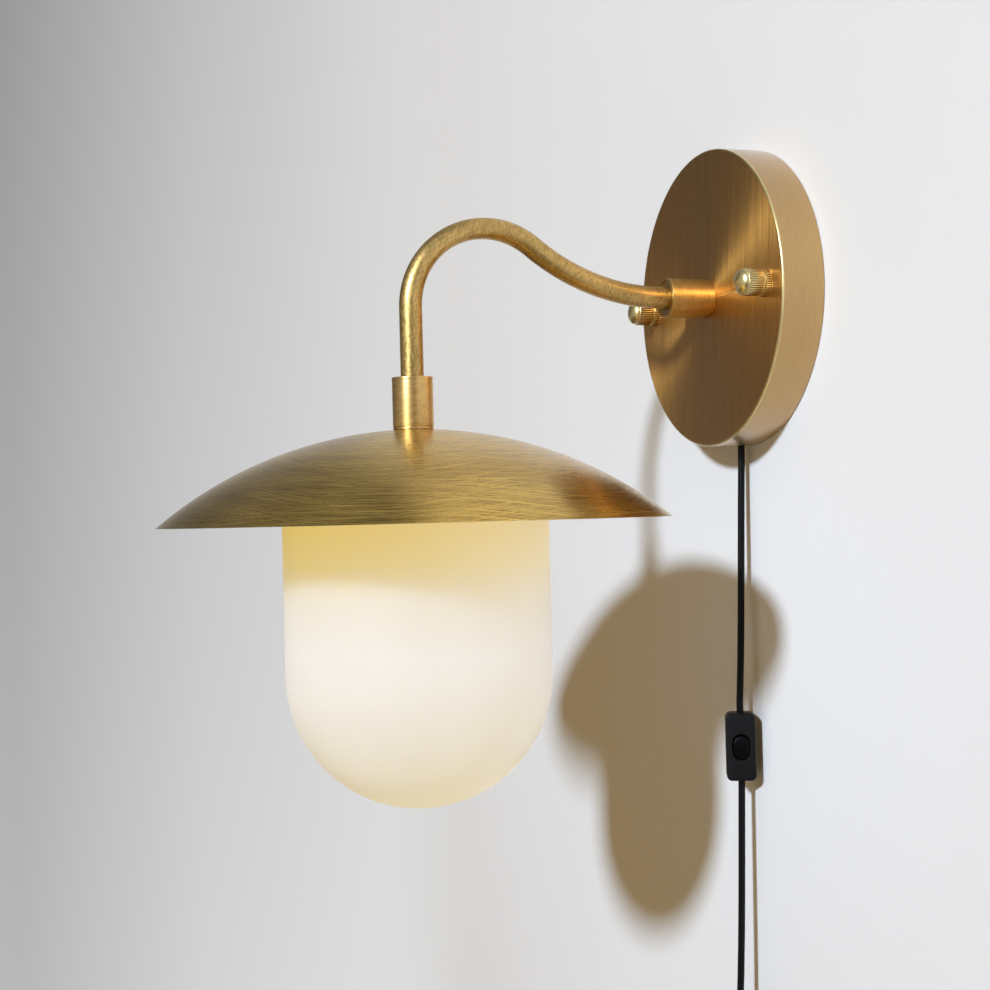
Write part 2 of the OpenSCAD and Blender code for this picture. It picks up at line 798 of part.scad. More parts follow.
// Lamp holder: cap with a hollow for the terminals, sleeve, screw shell and contact
module lamp_holder_cap() {
  floor_t = 2;
  color(ceramic)
    on_shade_axis()
      translate([0, 0, sleeve_top])
        difference() {
          union() {
            cylinder(r = holder_cap_d / 2, h = holder_cap_h - 3);
            translate([0, 0, holder_cap_h - 3])
              cylinder(r1 = holder_cap_d / 2, r2 = holder_cap_d / 2 - 3, h = 3);
          }
          translate([0, 0, -eps]) cylinder(r = shell_r, h = holder_cap_h - floor_t + eps);
          cylinder(r = thread_r, h = holder_cap_h + eps);
        }
}

module lamp_holder_sleeve() {
  lip = 0.8;
  color(ceramic)
    on_shade_axis()
      translate([0, 0, sleeve_bottom])
        difference() {
          union() {
            cylinder(r = sleeve_d / 2, h = sleeve_len);
            cylinder(r = sleeve_d / 2 + lip, h = 2.5);
          }
          translate([0, 0, -eps])
            cylinder(r = shell_r + shell_wall + thread_room, h = sleeve_len - sleeve_floor + eps);
          translate([0, 0, -eps]) cylinder(r = rivet_r + thread_room, h = sleeve_len + 2 * eps);
        }
}

module screw_shell() {
  color(bright_brass)
    on_shade_axis()
      translate([0, 0, sleeve_bottom + 1])
        ring(shell_r + shell_wall, shell_r, sleeve_len - sleeve_floor - 1.3);
}

// Sprung tongue that meets the bulb's tip, held by its rivet
module centre_contact() {
  color(bright_brass)
    on_shade_axis()
      translate([0, 0, sleeve_top - sleeve_floor]) {
        translate([0, 0, -0.8]) cylinder(r = 4, h = 0.8);
        cylinder(r = rivet_r, h = sleeve_floor + rivet_head_h);
        translate([0, 0, sleeve_floor]) cylinder(r = 2.6, h = rivet_head_h);
        translate([-2, -2, -contact_drop]) cube([4, 4, contact_drop - 0.5]);
      }
}

// The bulb's metal screw cap with its tip
module bulb_cap() {
  cone_h = 3;
  tip_h = 1.6;
  color(steel)
    on_shade_axis()
      translate([0, 0, bulb_cap_z]) {
        cylinder(r = bulb_cap_r, h = bulb_cap_len - cone_h - tip_h);
        translate([0, 0, bulb_cap_len - cone_h - tip_h])
          cylinder(r1 = bulb_cap_r, r2 = 6, h = cone_h);
        translate([0, 0, bulb_cap_len - tip_h]) cylinder(r = 4.5, h = tip_h);
      }
}

// The round bulb on its short neck
module bulb_glass() {
  neck = 12.5;
  flare_z = bulb_c + sqrt(bulb_r * bulb_r - (neck + 1.5) * (neck + 1.5));
  color(opal)
    on_shade_axis() {
      translate([0, 0, bulb_c]) sphere(r = bulb_r);
      translate([0, 0, flare_z - 0.5])
        cylinder(r1 = neck + 1.5, r2 = neck, h = bulb_cap_z - flare_z + 0.5);
    }
}

// Rubber grommet that lines the plate's hole
module cord_grommet() {
  body_h = plate_wall + 0.2;
  flange_h = 1.4;
  color(black)
    translate(cord_exit)
      difference() {
        union() {
          cylinder(r = grommet_d / 2, h = body_h);
          translate([0, 0, body_h]) cylinder(r = grommet_flange_d / 2, h = flange_h);
        }
        translate([0, 0, -eps]) cylinder(r = cord_r, h = body_h + flange_h + 2 * eps);
      }
}

// Crimped sleeve that keeps the cord from pulling out
module cord_stop() {
  sleeve_wall = 1;
  stop_len = 4;
  color(steel)
    translate(cord_exit + [0, 0, plate_wall + 1.8]) ring(cord_r + sleeve_wall, cord_r, stop_len);
}

module cord_inside() {
  color(black) tube_along(smooth(inside_route, cord_rings), cord_r, cord_sides, [0, 1, 0]);
}

module lead_wires() {
  route = concat(smooth(lead_start, cord_rings), lead_arm, lead_end);
  color([0.85, 0.85, 0.82])
    for (x = [-lead_off, lead_off])
      translate([x, 0, 0]) tube_along(route, lead_d / 2, 6, [1, 0, 0]);
}

module cord_upper() {
  color(black) tube_along(smooth(upper_route, cord_rings), cord_r, cord_sides, [0, 1, 0]);
}

module cord_lower() {
  color(black) tube_along(smooth(lower_route, cord_rings), cord_r, cord_sides, [0, 1, 0]);
}

// A block with rounded upright corners, centred, from z = 0 up
module soft_block(w, d, h, r) {
  union() {
    translate([-w / 2 + r, -d / 2, 0]) cube([w - 2 * r, d, h]);
    translate([-w / 2, -d / 2 + r, 0]) cube([w, d - 2 * r, h]);
    for (x = [-w / 2 + r, w / 2 - r], y = [-d / 2 + r, d / 2 - r])
      translate([x, y, 0]) cylinder(r = r, h = h, $fn = 32);
  }
}

// Inner sizes of the switch. It is drawn lying on its back with its face up.
rocker_depth = 2.2;
rocker_pin_r = 0.65;
rocker_pin_out = 1.3;
lug_t = 1.1;
lug_reach = 1.4;
pivot_z = switch_t - rocker_depth;
switch_split = 4.8;
screw_y = 9.6;
screw_head_r = 1.15;

module lay_switch() {
  on_switch() translate([0, switch_t / 2, 0]) rotate([90, 0, 0]) children();
}

// The switch's outer block with a bevel all round its face
module switch_block() {
  intersection() {
    soft_block(switch_w, switch_h, switch_t, switch_r);
    rotate([90, 0, 0]) bevelled_slab(switch_w, switch_h);
    rotate([90, 0, 90]) bevelled_slab(switch_h, switch_w);
  }
}

module bevelled_slab(w, depth) {
  linear_extrude(height = 2 * depth, center = true)
    polygon([
      [-w / 2, 0], [w / 2, 0], [w / 2, switch_t - switch_bevel],
      [w / 2 - switch_bevel, switch_t], [switch_bevel - w / 2, switch_t],
      [-w / 2, switch_t - switch_bevel]
    ]);
}

// The hollow inside both shells, which leaves thicker ends for the cord
module switch_hollow(from, to) {
  translate([0, 0, from])
    soft_block(
      switch_w - 2 * switch_wall, switch_h - 4 * switch_wall, to - from, switch_r - switch_wall / 2
    );
}

// Front shell, with two lugs inside in which the rocker's pins turn
module switch_front() {
  lug_x = rocker_w / 2 + rocker_room + lug_t / 2;
  color(black)
    lay_switch()
      difference() {
        union() {
          difference() {
            switch_block();
            translate([-switch_w, -switch_h, -eps])
              cube([2 * switch_w, 2 * switch_h, switch_split + eps]);
            switch_hollow(switch_split - eps, switch_t - switch_wall);
          }
          for (s = [-1, 1])
            translate([s * lug_x - lug_t / 2, -lug_reach, pivot_z - lug_reach])
              cube([lug_t, 2 * lug_reach, switch_t - switch_wall / 2 - pivot_z + lug_reach]);
        }
        rocker_window(switch_t + eps);
        translate([0, 0, pivot_z])
          rotate([0, 90, 0])
            cylinder(r = rocker_pin_r + thread_room, h = rocker_w + 2 * rocker_pin_out + 0.4, center = true);
        cord_entries();
      }
}

// The oval opening for the rocker
module rocker_window(h) {
  w = rocker_w / 2 + rocker_room;
  run = (rocker_h - rocker_w) / 2;
  for (y = [-run, run]) translate([0, y, switch_split]) cylinder(r = w, h = h);
  translate([-w, -run, switch_split]) cube([2 * w, 2 * run, h]);
}

module cord_entries() {
  for (s = [-1, 1])
    translate([0, s * switch_h / 2, switch_t / 2])
      rotate([90, 0, 0]) cylinder(r = cord_r, h = 0.4, center = true);
}

module switch_back() {
  color(black)
    lay_switch()
      difference() {
        soft_block(switch_w, switch_h, switch_split, switch_r);
        switch_hollow(switch_wall, switch_split + eps);
        translate([0, screw_y, -eps]) cylinder(r = screw_head_r + 0.05, h = switch_wall + 2 * eps);
        cord_entries();
      }
}

// Oval rocker with a shallow crown and a pin on each side, drawn tilted to its resting side
module switch_rocker() {
  run = (rocker_h - rocker_w) / 2;
  below = 1.8;
  proud = 0.9;
  crown_r = 16;
  body_h = below + rocker_depth + proud;
  color(black)
    lay_switch()
      translate([0, 0, pivot_z])
        rotate([rocker_swing / 2, 0, 0]) {
          intersection() {
            union() {
              for (y = [-run, run])
                translate([0, y, -below]) cylinder(r = rocker_w / 2, h = body_h);
              translate([-rocker_w / 2, -run, -below]) cube([rocker_w, 2 * run, body_h]);
            }
            translate([0, 0, rocker_depth + proud - crown_r])
              rotate([0, 90, 0]) cylinder(r = crown_r, h = 2 * rocker_w, center = true);
          }
          rotate([0, 90, 0])
            cylinder(r = rocker_pin_r, h = rocker_w + 2 * rocker_pin_out, center = true);
        }
}

module switch_screw() {
  shank_r = 0.8;
  slot = 0.5;
  color(steel)
    lay_switch()
      translate([0, screw_y, 0])
        difference() {
          union() {
            cylinder(r = screw_head_r, h = switch_wall);
            cylinder(r = shank_r, h = switch_t - switch_wall);
          }
          translate([-2 * screw_head_r, -slot / 2, -eps])
            cube([4 * screw_head_r, slot, slot + eps]);
        }
}

// The two fixed contacts in the floor of the switch
module switch_contacts() {
  color(bright_brass)
    lay_switch()
      for (s = [-1, 1])
        translate([0, s * 4.2, switch_wall]) {
          translate([-2, -1.6, 0]) cube([4, 3.2, 0.6]);
          translate([-1.2, -1.2, 0]) cube([2.4, 2.4, 1.4]);
        }
}

// The coil: one unbroken tube
module cord_coil() {
  color(black) tube_along(coil_path, cord_r, coil_sides, [0, 1, 0]);
}

// Strap closed round the coil's turns near its top, with its free end lapped over in front
module cord_tie() {
  turn = 34;
  across = coil_out_r - coil_in_r + cord_d + 2 * tie_room;
  deep = coil_depth + cord_d + 2 * tie_room;
  corner = 2;
  lap = 8;
  color(black)
    translate([coil_c[0], coil_c[1] + coil_depth / 2, coil_c[2]])
      rotate([0, turn, 0])
        translate([-tie_w / 2, 0, (coil_out_r + coil_in_r) / 2])
          rotate([90, 0, 90])
            union() {
              difference() {
                soft_block(deep + 2 * tie_t, across + 2 * tie_t, tie_w, corner);
                translate([0, 0, -eps])
                  soft_block(deep, across, tie_w + 2 * eps, corner - tie_t);
              }
              translate([-deep / 2 - 2 * tie_t, -lap / 2, 0]) cube([1.5 * tie_t, lap, tie_w]);
            }
}

// Plug: a tapered strain relief, shoulders that widen to the grip, and a flat face
module plug_body() {
  neck_w = 9;
  neck_t = 8;
  shoulder = 8;
  grip_r = 10;
  grip_cut = 1.4;
  color(black)
    translate([coil_end[0], coil_end[1], plug_bottom]) {
      translate([0, 0, plug_len - eps])
        cylinder(r1 = neck_t / 2 - 0.6, r2 = cord_r + 0.7, h = relief_len + eps);
      difference() {
        intersection() {
          soft_block(plug_w, plug_t, plug_len, 4);
          rotate([90, 0, 0])
            linear_extrude(height = 2 * plug_t, center = true)
              polygon([
                [-plug_w / 2, 0], [plug_w / 2, 0], [plug_w / 2, plug_len - shoulder],
                [neck_w / 2, plug_len], [-neck_w / 2, plug_len], [-plug_w / 2, plug_len - shoulder]
              ]);
          rotate([90, 0, 90])
            linear_extrude(height = 2 * plug_w, center = true)
              polygon([
                [-plug_t / 2, 0], [plug_t / 2, 0], [plug_t / 2, plug_len - shoulder],
                [neck_t / 2, plug_len], [-neck_t / 2, plug_len], [-plug_t / 2, plug_len - shoulder]
              ]);
        }
        for (s = [-1, 1])
          translate([s * (plug_w / 2 + grip_r - grip_cut), 0, plug_len - shoulder - 5])
            rotate([90, 0, 0]) cylinder(r = grip_r, h = 2 * plug_t, center = true);
      }
    }
}

// The plug's two flat blades, each with its hole
module plug_blades() {
  hole_from_tip = 4;
  hole_r = 1.5;
  tip_h = 1;
  color(steel)
    for (s = [-1, 1])
      translate([coil_end[0] + s * blade_spacing / 2, coil_end[1], plug_bottom - blade_len])
        difference() {
          union() {
            translate([-blade_t / 2, -blade_w / 2, tip_h]) cube([blade_t, blade_w, blade_len - tip_h]);
            translate([-blade_t / 2, -blade_w / 2 + tip_h, 0]) cube([blade_t, blade_w - 2 * tip_h, tip_h]);
          }
          translate([0, 0, hole_from_tip])
            rotate([0, 90, 0]) cylinder(r = hole_r, h = 2 * blade_t, center = true);
        }
}

back_plate();
wall_strap();
strap_studs();
cap_nut(stud_x);  // cap_nut_right
cap_nut(-stud_x);  // cap_nut_left
plate_collar();
arm_nipple();
arm_lock_washer();
arm_lock_nut();
arm_tube();
shade_collar();
shade_washer();
shade_nipple();
shade_lock_nut();
dome_shade();
glass_holder();
glass_ring();
thumbscrew(thumb_angles[0]);  // thumbscrew_a
thumbscrew(thumb_angles[1]);  // thumbscrew_b
thumbscrew(thumb_angles[2]);  // thumbscrew_c
opal_glass();
lamp_holder_cap();
lamp_holder_sleeve();
screw_shell();
centre_contact();
bulb_cap();
bulb_glass();
cord_grommet();
cord_stop();
cord_inside();
lead_wires();
cord_upper();
switch_front();
switch_back();
switch_rocker();
switch_screw();
switch_contacts();
cord_lower();
cord_coil();
cord_tie();
plug_body();
plug_blades();
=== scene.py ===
# %% [markdown]
# # A plug-in wall lamp in brushed antique brass
# A round wall plate, a swan-neck arm, a spun dome shade, an opal glass and a thin black cord with
# its switch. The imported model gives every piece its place. This script makes the pieces that show
# again with rounded edges and fine surfaces, and gives every piece its finish.

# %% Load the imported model
import math

import bmesh
import bpy
from mathutils import Matrix, Vector


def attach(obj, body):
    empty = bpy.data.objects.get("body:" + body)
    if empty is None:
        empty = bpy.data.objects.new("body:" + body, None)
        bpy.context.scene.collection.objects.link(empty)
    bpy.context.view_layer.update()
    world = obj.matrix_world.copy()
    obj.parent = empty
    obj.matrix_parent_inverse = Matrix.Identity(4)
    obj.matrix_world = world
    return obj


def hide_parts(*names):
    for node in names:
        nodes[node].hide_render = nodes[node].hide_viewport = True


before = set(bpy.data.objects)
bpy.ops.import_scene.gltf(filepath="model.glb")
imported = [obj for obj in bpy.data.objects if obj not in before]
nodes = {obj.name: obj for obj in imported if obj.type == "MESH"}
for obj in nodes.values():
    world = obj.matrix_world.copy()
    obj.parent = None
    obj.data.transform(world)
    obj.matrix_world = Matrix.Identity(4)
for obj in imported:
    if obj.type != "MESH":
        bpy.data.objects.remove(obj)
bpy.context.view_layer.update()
MM = 0.001

# %% [markdown]
# ## The camera
# A photograph can be matched by eye, or by fitting the known shapes in it: the plate's rim, the two
# cap nuts, the shade's rim and the plumb cord. The fit gives a place, a direction and a small roll,
# so the camera is set from these numbers and not from a target.

# %% Camera
def new_object(name, data):
    """An object in the scene that shows its data."""
    made = bpy.data.objects.new(name, data)
    bpy.context.scene.collection.objects.link(made)
    return made


CAMERA_PLACE = (0.61999, -0.34946, -0.08985)
CAMERA_TURN = 1.21429
CAMERA_BACK = (0.93706395, -0.34898087, -0.01111298)
CAMERA_ROLL = -0.02552
LENS, SENSOR_W, NEAREST = 58.87, 36, 0.01

camera_data = bpy.data.cameras.new("view_camera")
camera_data.sensor_width = SENSOR_W
camera_data.lens = LENS
camera_data.clip_start = NEAREST
camera = new_object("view_camera", camera_data)
back = Vector(CAMERA_BACK).normalized()
level = Vector((math.cos(CAMERA_TURN), math.sin(CAMERA_TURN), 0))
upright = back.cross(level)
right = math.cos(CAMERA_ROLL) * level + math.sin(CAMERA_ROLL) * upright
up = -math.sin(CAMERA_ROLL) * level + math.cos(CAMERA_ROLL) * upright
camera.matrix_world = Matrix.Translation(CAMERA_PLACE) @ Matrix((right, up, back)).transposed().to_4x4()
bpy.context.scene.camera = camera
print("camera lens in mm:", camera_data.lens)

# %% [markdown]
# ## Making meshes
# Most pieces of a lamp are turned, spun, drawn or bent, so three helpers make nearly all of them:
# one spins an outline round an axis, one sweeps a ring along a route, and one joins a stack of
# outlines. Each writes its points by formula, so an edge gets as many rows as its roundness needs.

# %% A mesh piece that rides on the lamp
def mesh_piece(name, points, faces, body="lamp", sharp=32):
    """Makes a closed mesh from points in millimetres, shaded smooth but for its sharp edges."""
    mesh = bpy.data.meshes.new(name)
    mesh.from_pydata([Vector(p) * MM for p in points], [], faces)
    shell = bmesh.new()
    shell.from_mesh(mesh)
    bmesh.ops.recalc_face_normals(shell, faces=shell.faces)
    shell.to_mesh(mesh)
    shell.free()
    mesh.shade_smooth()
    mesh.set_sharp_from_angle(angle=math.radians(sharp))
    piece = new_object(name, mesh)
    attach(piece, body)
    return piece


# %% Rows of points joined into a skin
def skin(name, rows, closed=False, **how):
    """Joins rows of equally many points. The rows close on themselves, or end in caps."""
    across = len(rows[0])
    points = [p for row in rows for p in row]
    count = len(rows) if closed else len(rows) - 1
    faces = []
    for i in range(count):
        a, b = i * across, (i + 1) % len(rows) * across
        faces += [(a + k, a + (k + 1) % across, b + (k + 1) % across, b + k) for k in range(across)]
    if not closed:
        last = (len(rows) - 1) * across
        faces.append(tuple(range(across)))
        faces.append(tuple(range(last + across - 1, last - 1, -1)))
    return mesh_piece(name, points, faces, **how)


# %% [markdown]
# A real edge is never quite sharp, and the thin bright line along it is what makes metal look like
# metal. Rounding each corner of an outline before it is spun costs little and keeps every edge
# under control, which a bevel modifier can't promise on a thin sheet.

# %% Outlines with rounded corners
def eased(outline, arc=4):
    """Rounds the corners of a closed outline. Each point is (x, y) or (x, y, radius)."""
    made = []
    for i, point in enumerate(outline):
        here = Vector(point[:2])
        if len(point) < 3:
            made.append(tuple(here))
            continue
        to_last = Vector(outline[i - 1][:2]) - here
        to_next = Vector(outline[(i + 1) % len(outline)][:2]) - here
        cut = min(point[2], 0.45 * to_last.length, 0.45 * to_next.length)
        start, end = here + to_last.normalized() * cut, here + to_next.normalized() * cut
        if to_last.length > 4 * cut:
            made.append(tuple(start + to_last.normalized() * 0.6 * cut))
        for k in range(arc + 1):
            t = k / arc
            bend = start * (1 - t) ** 2 + here * 2 * t * (1 - t) + end * t * t
            made.append(tuple(bend))
        if to_next.length > 4 * cut:
            made.append(tuple(end + to_next.normalized() * 0.6 * cut))
    return made


# %% Spin an outline round an axis
REACH, LEAST_R = 152.7, 0.002


def out_of_wall(r, h, angle, x=0.0):
    """A point at radius r and height h over the wall, round an axis that leaves the wall at x."""
    return (x + r * math.cos(angle), -h, r * math.sin(angle))


def on_shade_axis(r, z, angle):
    """A point at radius r and height z, round the upright line through the shade."""
    return (r * math.cos(angle), -REACH + r * math.sin(angle), z)


def turned(name, outline, place, steps=128, ridges=None, **how):
    """Spins a closed outline of (radius, height). ridges(row, k) may take a little off the radius."""
    rows = []
    for i, (r, h) in enumerate(outline):
        cut = [ridges(i, k) if ridges else 0 for k in range(steps)]
        rows.append([place(max(r - cut[k], LEAST_R), h, 2 * math.pi * k / steps) for k in range(steps)])
    return skin(name, rows, closed=True, **how)


# %% [markdown]
# ## The cord
# A mains cord is a fixed length of something flexible. This one is 3 mm thick and 1.83 m long: it
# hangs from the hole under the plate, runs through its switch, and the rest is wound up and tied
# just below the picture, with its plug. Its line is a smooth curve through the route's points, and
# the coil comes from a formula, so that the turns lie a steady 3.5 mm apart.

# %% The cord's route
CORD_R = 1.5
INSIDE = [
    (0, -4.2, -63.5), (0, -4.2, -58), (0, -4.6, -52), (0, -6, -45), (0, -7.6, -38), (0, -8, -31),
]
UPPER = [
    (0, -4.2, -63.5), (0, -4.2, -69), (0, -4.6, -80), (0, -5.3, -100), (0, -6.1, -125),
    (0, -7, -150), (0, -7.9, -168), (0, -8.2, -173), (0, -8.3, -178.5),
]
LOWER = [
    (0, -8.3, -207.4), (0, -8.4, -212), (0, -8.7, -222), (0, -9.4, -245), (0, -10.2, -268),
    (0, -11.2, -290), (0, -11.8, -300), (0, -12.3, -306), (0.1, -12.6, -309.6),
    (1.1, -12.9, -314.4), (3.8, -13.1, -318.2), (7.6, -13.2, -320.9), (12, -13.2, -322),
]


def smooth_line(points, steps=6):
    """A smooth curve through the points, with some steps from each one to the next."""
    p = [Vector(q) for q in points]
    line = []
    for i in range(len(p) - 1):
        a, b, c, d = p[max(i - 1, 0)], p[i], p[i + 1], p[min(i + 2, len(p) - 1)]
        for k in range(steps):
            t = k / steps
            line.append(0.5 * (
                2 * b + (c - a) * t + (2 * a - 5 * b + 4 * c - d) * t * t
                + (3 * b - a - 3 * c + d) * t ** 3
            ))
    return line + [p[-1]]


# %% The coil's turns
COIL_START = Vector((12, -13.2, -322))
COIL_OUT_R, COIL_PITCH = 24, 3.5
LAYER_TURNS, LAYERS = 3.3125, 4
COIL_IN_R = COIL_OUT_R - LAYER_TURNS * COIL_PITCH
COIL_TOP = COIL_START + Vector((2 * CORD_R, 0, 0))
COIL_MIDDLE = COIL_TOP - Vector((0, 0, COIL_OUT_R))
TURN_STEPS, CLIMB_TURNS = 36, 0.5


def coil_point(t):
    """Where the strand is after t turns: in, out, in and out again, a layer further back each time."""
    layer = min(int(t / LAYER_TURNS), LAYERS - 1)
    part = t / LAYER_TURNS - layer
    r = COIL_OUT_R - (COIL_OUT_R - COIL_IN_R) * (part if layer % 2 == 0 else 1 - part)
    near = round(t / LAYER_TURNS)
    if 0 < near < LAYERS:
        climb = min(max((t - near * LAYER_TURNS) / CLIMB_TURNS + 0.5, 0), 1)
        depth = near - 1 + climb * climb * (3 - 2 * climb)
    else:
        depth = min(near, LAYERS - 1)
    angle = 2 * math.pi * t
    return COIL_MIDDLE + Vector((r * math.sin(angle), depth * COIL_PITCH, r * math.cos(angle)))


turns = LAYER_TURNS * LAYERS
coil_steps = round(turns * TURN_STEPS)
coil_line = [coil_point(turns * i / coil_steps) for i in range(coil_steps + 1)]
COIL_LEAVE = coil_line[-1].copy()
LEAD_OUT = [
    (0, 0, 0), (0, 0, -5), (0, -0.6, -10), (0, -2.8, -15), (0, -5, -20), (0, -5.6, -25), (0, -5.6, -28),
]
lead_out = smooth_line([COIL_LEAVE + Vector(p) for p in LEAD_OUT], 3)
cord_line = smooth_line(UPPER) + smooth_line(LOWER) + coil_line + lead_out[1:]
CORD_END = cord_line[-1].copy()
cord_length = sum((b - a).length for a, b in zip(cord_line, cord_line[1:]))
print("cord from the plate to the plug, in m:", round(cord_length * MM, 3))


# %% Sweep rings along a line
def rings_along(line, section, sides):
    """Rings of points along a line, without twist. section(i) gives a ring's two half widths."""
    line = [Vector(p) for p in line]
    side = None
    rows = []
    for i, here in enumerate(line):
        ahead = (line[min(i + 1, len(line) - 1)] - line[max(i - 1, 0)]).normalized()
        if side is None:
            side = Vector((1, 0, 0)) if abs(ahead.x) < 0.9 else Vector((0, 1, 0))
        side = (side - ahead * side.dot(ahead)).normalized()
        over = ahead.cross(side)
        wide, deep = section(i)
        rows.append([
            tuple(here + side * wide * math.cos(a) + over * deep * math.sin(a))
            for a in (2 * math.pi * k / sides for k in range(sides))
        ])
    return rows


def swept(name, line, radius, sides=14, **how):
    """A round strand along a line."""
    return skin(name, rings_along(line, lambda i: (radius, radius), sides), **how)


# %% Make the cord
mains_cord = swept("mains_cord", cord_line, CORD_R)
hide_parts("cord_upper", "cord_lower", "cord_coil")
sheath_inside = swept("sheath_inside", smooth_line(INSIDE), CORD_R)
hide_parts("cord_inside")
print("cord points:", len(cord_line))

# %% [markdown]
# ## The wall plate
# The plate is a shallow cup pressed from brass sheet. Spun outlines give its face, its rolled
# outer edge and its open back in one shell. Real holes are cut for the studs, the arm's stack and
# the cord, because the back shows from behind.

# %% Wall plate
PLATE_R, PLATE_DEPTH, SHEET = 63.5, 19.0, 1.2
STACK_HOLE_R, STUD_HOLE_R, CORD_HOLE_R = 4.1, 2.15, 2.5
STUD_X, CORD_Y, HOLE_SIDES = 50, -4.2, 40
plate_outline = eased([
    (PLATE_R, 0, 0.2), (PLATE_R, PLATE_DEPTH, 0.75),
    (STACK_HOLE_R, PLATE_DEPTH), (STACK_HOLE_R, PLATE_DEPTH - SHEET),
    (PLATE_R - SHEET, PLATE_DEPTH - SHEET, 0.5), (PLATE_R - SHEET, 0, 0.2),
], arc=6)
wall_plate = turned("wall_plate", plate_outline, out_of_wall, steps=256)
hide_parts("back_plate")


def drill(piece, start, end, radius):
    """Cuts a round hole along a straight line."""
    way = Vector(end) - Vector(start)
    turn = Vector((0, 0, 1)).rotation_difference(way)
    angles = [2 * math.pi * k / HOLE_SIDES for k in range(HOLE_SIDES)]
    ring = [Vector((radius * math.cos(a), radius * math.sin(a), 0)) for a in angles]
    rows = [[tuple(Vector(p) + turn @ q) for q in ring] for p in (start, end)]
    cutter = skin("drill", rows)
    hole = piece.modifiers.new("hole", "BOOLEAN")
    hole.operation = "DIFFERENCE"
    hole.solver = "EXACT"
    hole.object = cutter
    shown = piece.evaluated_get(bpy.context.evaluated_depsgraph_get())
    mesh = bpy.data.meshes.new_from_object(shown)
    piece.modifiers.clear()
    piece.data = mesh
    bpy.data.objects.remove(cutter)


for x in (-STUD_X, STUD_X):
    drill(wall_plate, (x, -10, 0), (x, -25, 0), STUD_HOLE_R)
drill(wall_plate, (0, CORD_Y, -70), (0, CORD_Y, -58), CORD_HOLE_R)
print("wall plate faces:", len(wall_plate.data.polygons))

# %% [markdown]
# ## Cap nuts
# Each nut is turned from bar: a knurled foot ring, a thin neck, a long straight knurl and a domed
# nose. The ridges could be a bump, but they catch the light one by one, so they are real: of every
# four points on a row, one stays out on the ridge and the others step in to the groove.

# %% Cap nuts
# Each row is a radius, a height over the plate, and 1 where the ridges are cut.
NUT_ROWS = [
    (5.85, 0.0, 0), (6.0, 0.2, 1), (6.0, 2.35, 1), (5.8, 2.6, 0), (5.05, 2.62, 0), (4.95, 2.75, 0),
    (4.95, 3.2, 0), (5.2, 3.3, 0), (5.45, 3.35, 0), (5.65, 3.6, 1), (5.65, 9.8, 1), (5.42, 10.1, 0),
    (5.3, 10.18, 0),
]
NUTS = (("right_nut", STUD_X), ("left_nut", -STUD_X))
NOSE_FOOT, NOSE_H, NOSE_R = 10.2, 3.0, 5.28
THREAD_R, THREAD_DEPTH = 2.0, 9.0
RIDGES, RIDGE_DEPTH, RIDGE_SHAPE = 40, 0.38, (0, 0.35, 1, 0.35)
nose = [
    (NOSE_R * math.sin(a), NOSE_FOOT + NOSE_H * math.cos(a), 0)
    for a in (math.pi / 2 * (1 - k / 10) for k in range(11))
]
nut_rows = NUT_ROWS + nose + [(THREAD_R, THREAD_DEPTH, 0), (THREAD_R, 0.0, 0)]


def knurl(row, k):
    """How deep the knurl cuts at a point of a row: ridge, flank, groove, flank."""
    return RIDGE_DEPTH * nut_rows[row][2] * RIDGE_SHAPE[k % 4]


for name, x in NUTS:
    nut = turned(
        name, [(r, PLATE_DEPTH + h) for r, h, _ in nut_rows],
        lambda r, h, a, x=x: out_of_wall(r, h, a, x), steps=4 * RIDGES, ridges=knurl,
        body="right_cap_nut" if x > 0 else "left_cap_nut", sharp=40,
    )
    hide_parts("cap_nut_right" if x > 0 else "cap_nut_left")
print("ridges round a nut:", RIDGES)

# %% [markdown]
# ## Collars and the seat washer
# Two turned sleeves hide the threaded joints. Each has a small raised lip at its mouth and a
# shallow dish in its end, with a dark gap round the arm. The same outline serves both: one stands
# out of the wall plate, the other on the shade's axis.

# %% Collars
COLLAR_LEN, COLLAR_R, LIP_R, BORE_R = 20.0, 8.25, 8.34, 6.95
MOUTH_R, DISH_R, DISH_DEPTH = 4.9, 7.5, 0.8
SHADE_FOOT, WASHER_FOOT, WASHER_R, WASHER_BORE_R = -54.6, -55.6, 8.2, 3.95


def collar_outline(foot):
    mouth = foot + COLLAR_LEN
    dish = mouth - DISH_DEPTH
    return eased([
        (8.1, foot, 0.2), (COLLAR_R, foot + 0.5), (COLLAR_R, mouth - 1.2, 0.15),
        (LIP_R, mouth - 1.0, 0.15), (LIP_R, mouth, 0.25), (DISH_R, mouth, 0.12),
        (DISH_R - 0.1, dish, 0.15), (MOUTH_R, dish, 0.2),
        (MOUTH_R, mouth - 3), (BORE_R, mouth - 3), (BORE_R, foot),
    ])


plate_collar = turned("collar_on_plate", collar_outline(PLATE_DEPTH), out_of_wall)
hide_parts("plate_collar")
shade_collar = turned("collar_on_shade", collar_outline(SHADE_FOOT), on_shade_axis)
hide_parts("shade_collar")
washer = turned("seat_washer", eased([
    (WASHER_R, WASHER_FOOT, 0.2), (WASHER_R, SHADE_FOOT - 0.02, 0.25),
    (WASHER_BORE_R, SHADE_FOOT - 0.02), (WASHER_BORE_R, WASHER_FOOT),
]), on_shade_axis)
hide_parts("shade_washer")
print("collar length in mm:", COLLAR_LEN)

# %% [markdown]
# ## The arm
# The arm is a thin tube bent cold over two formers. A bent tube flattens a little in its bends, so
# the swept ring grows narrower in the plane of the bend and slightly wider across it there. That is
# easy with a sweep and would be hard with a curve object's round bevel.

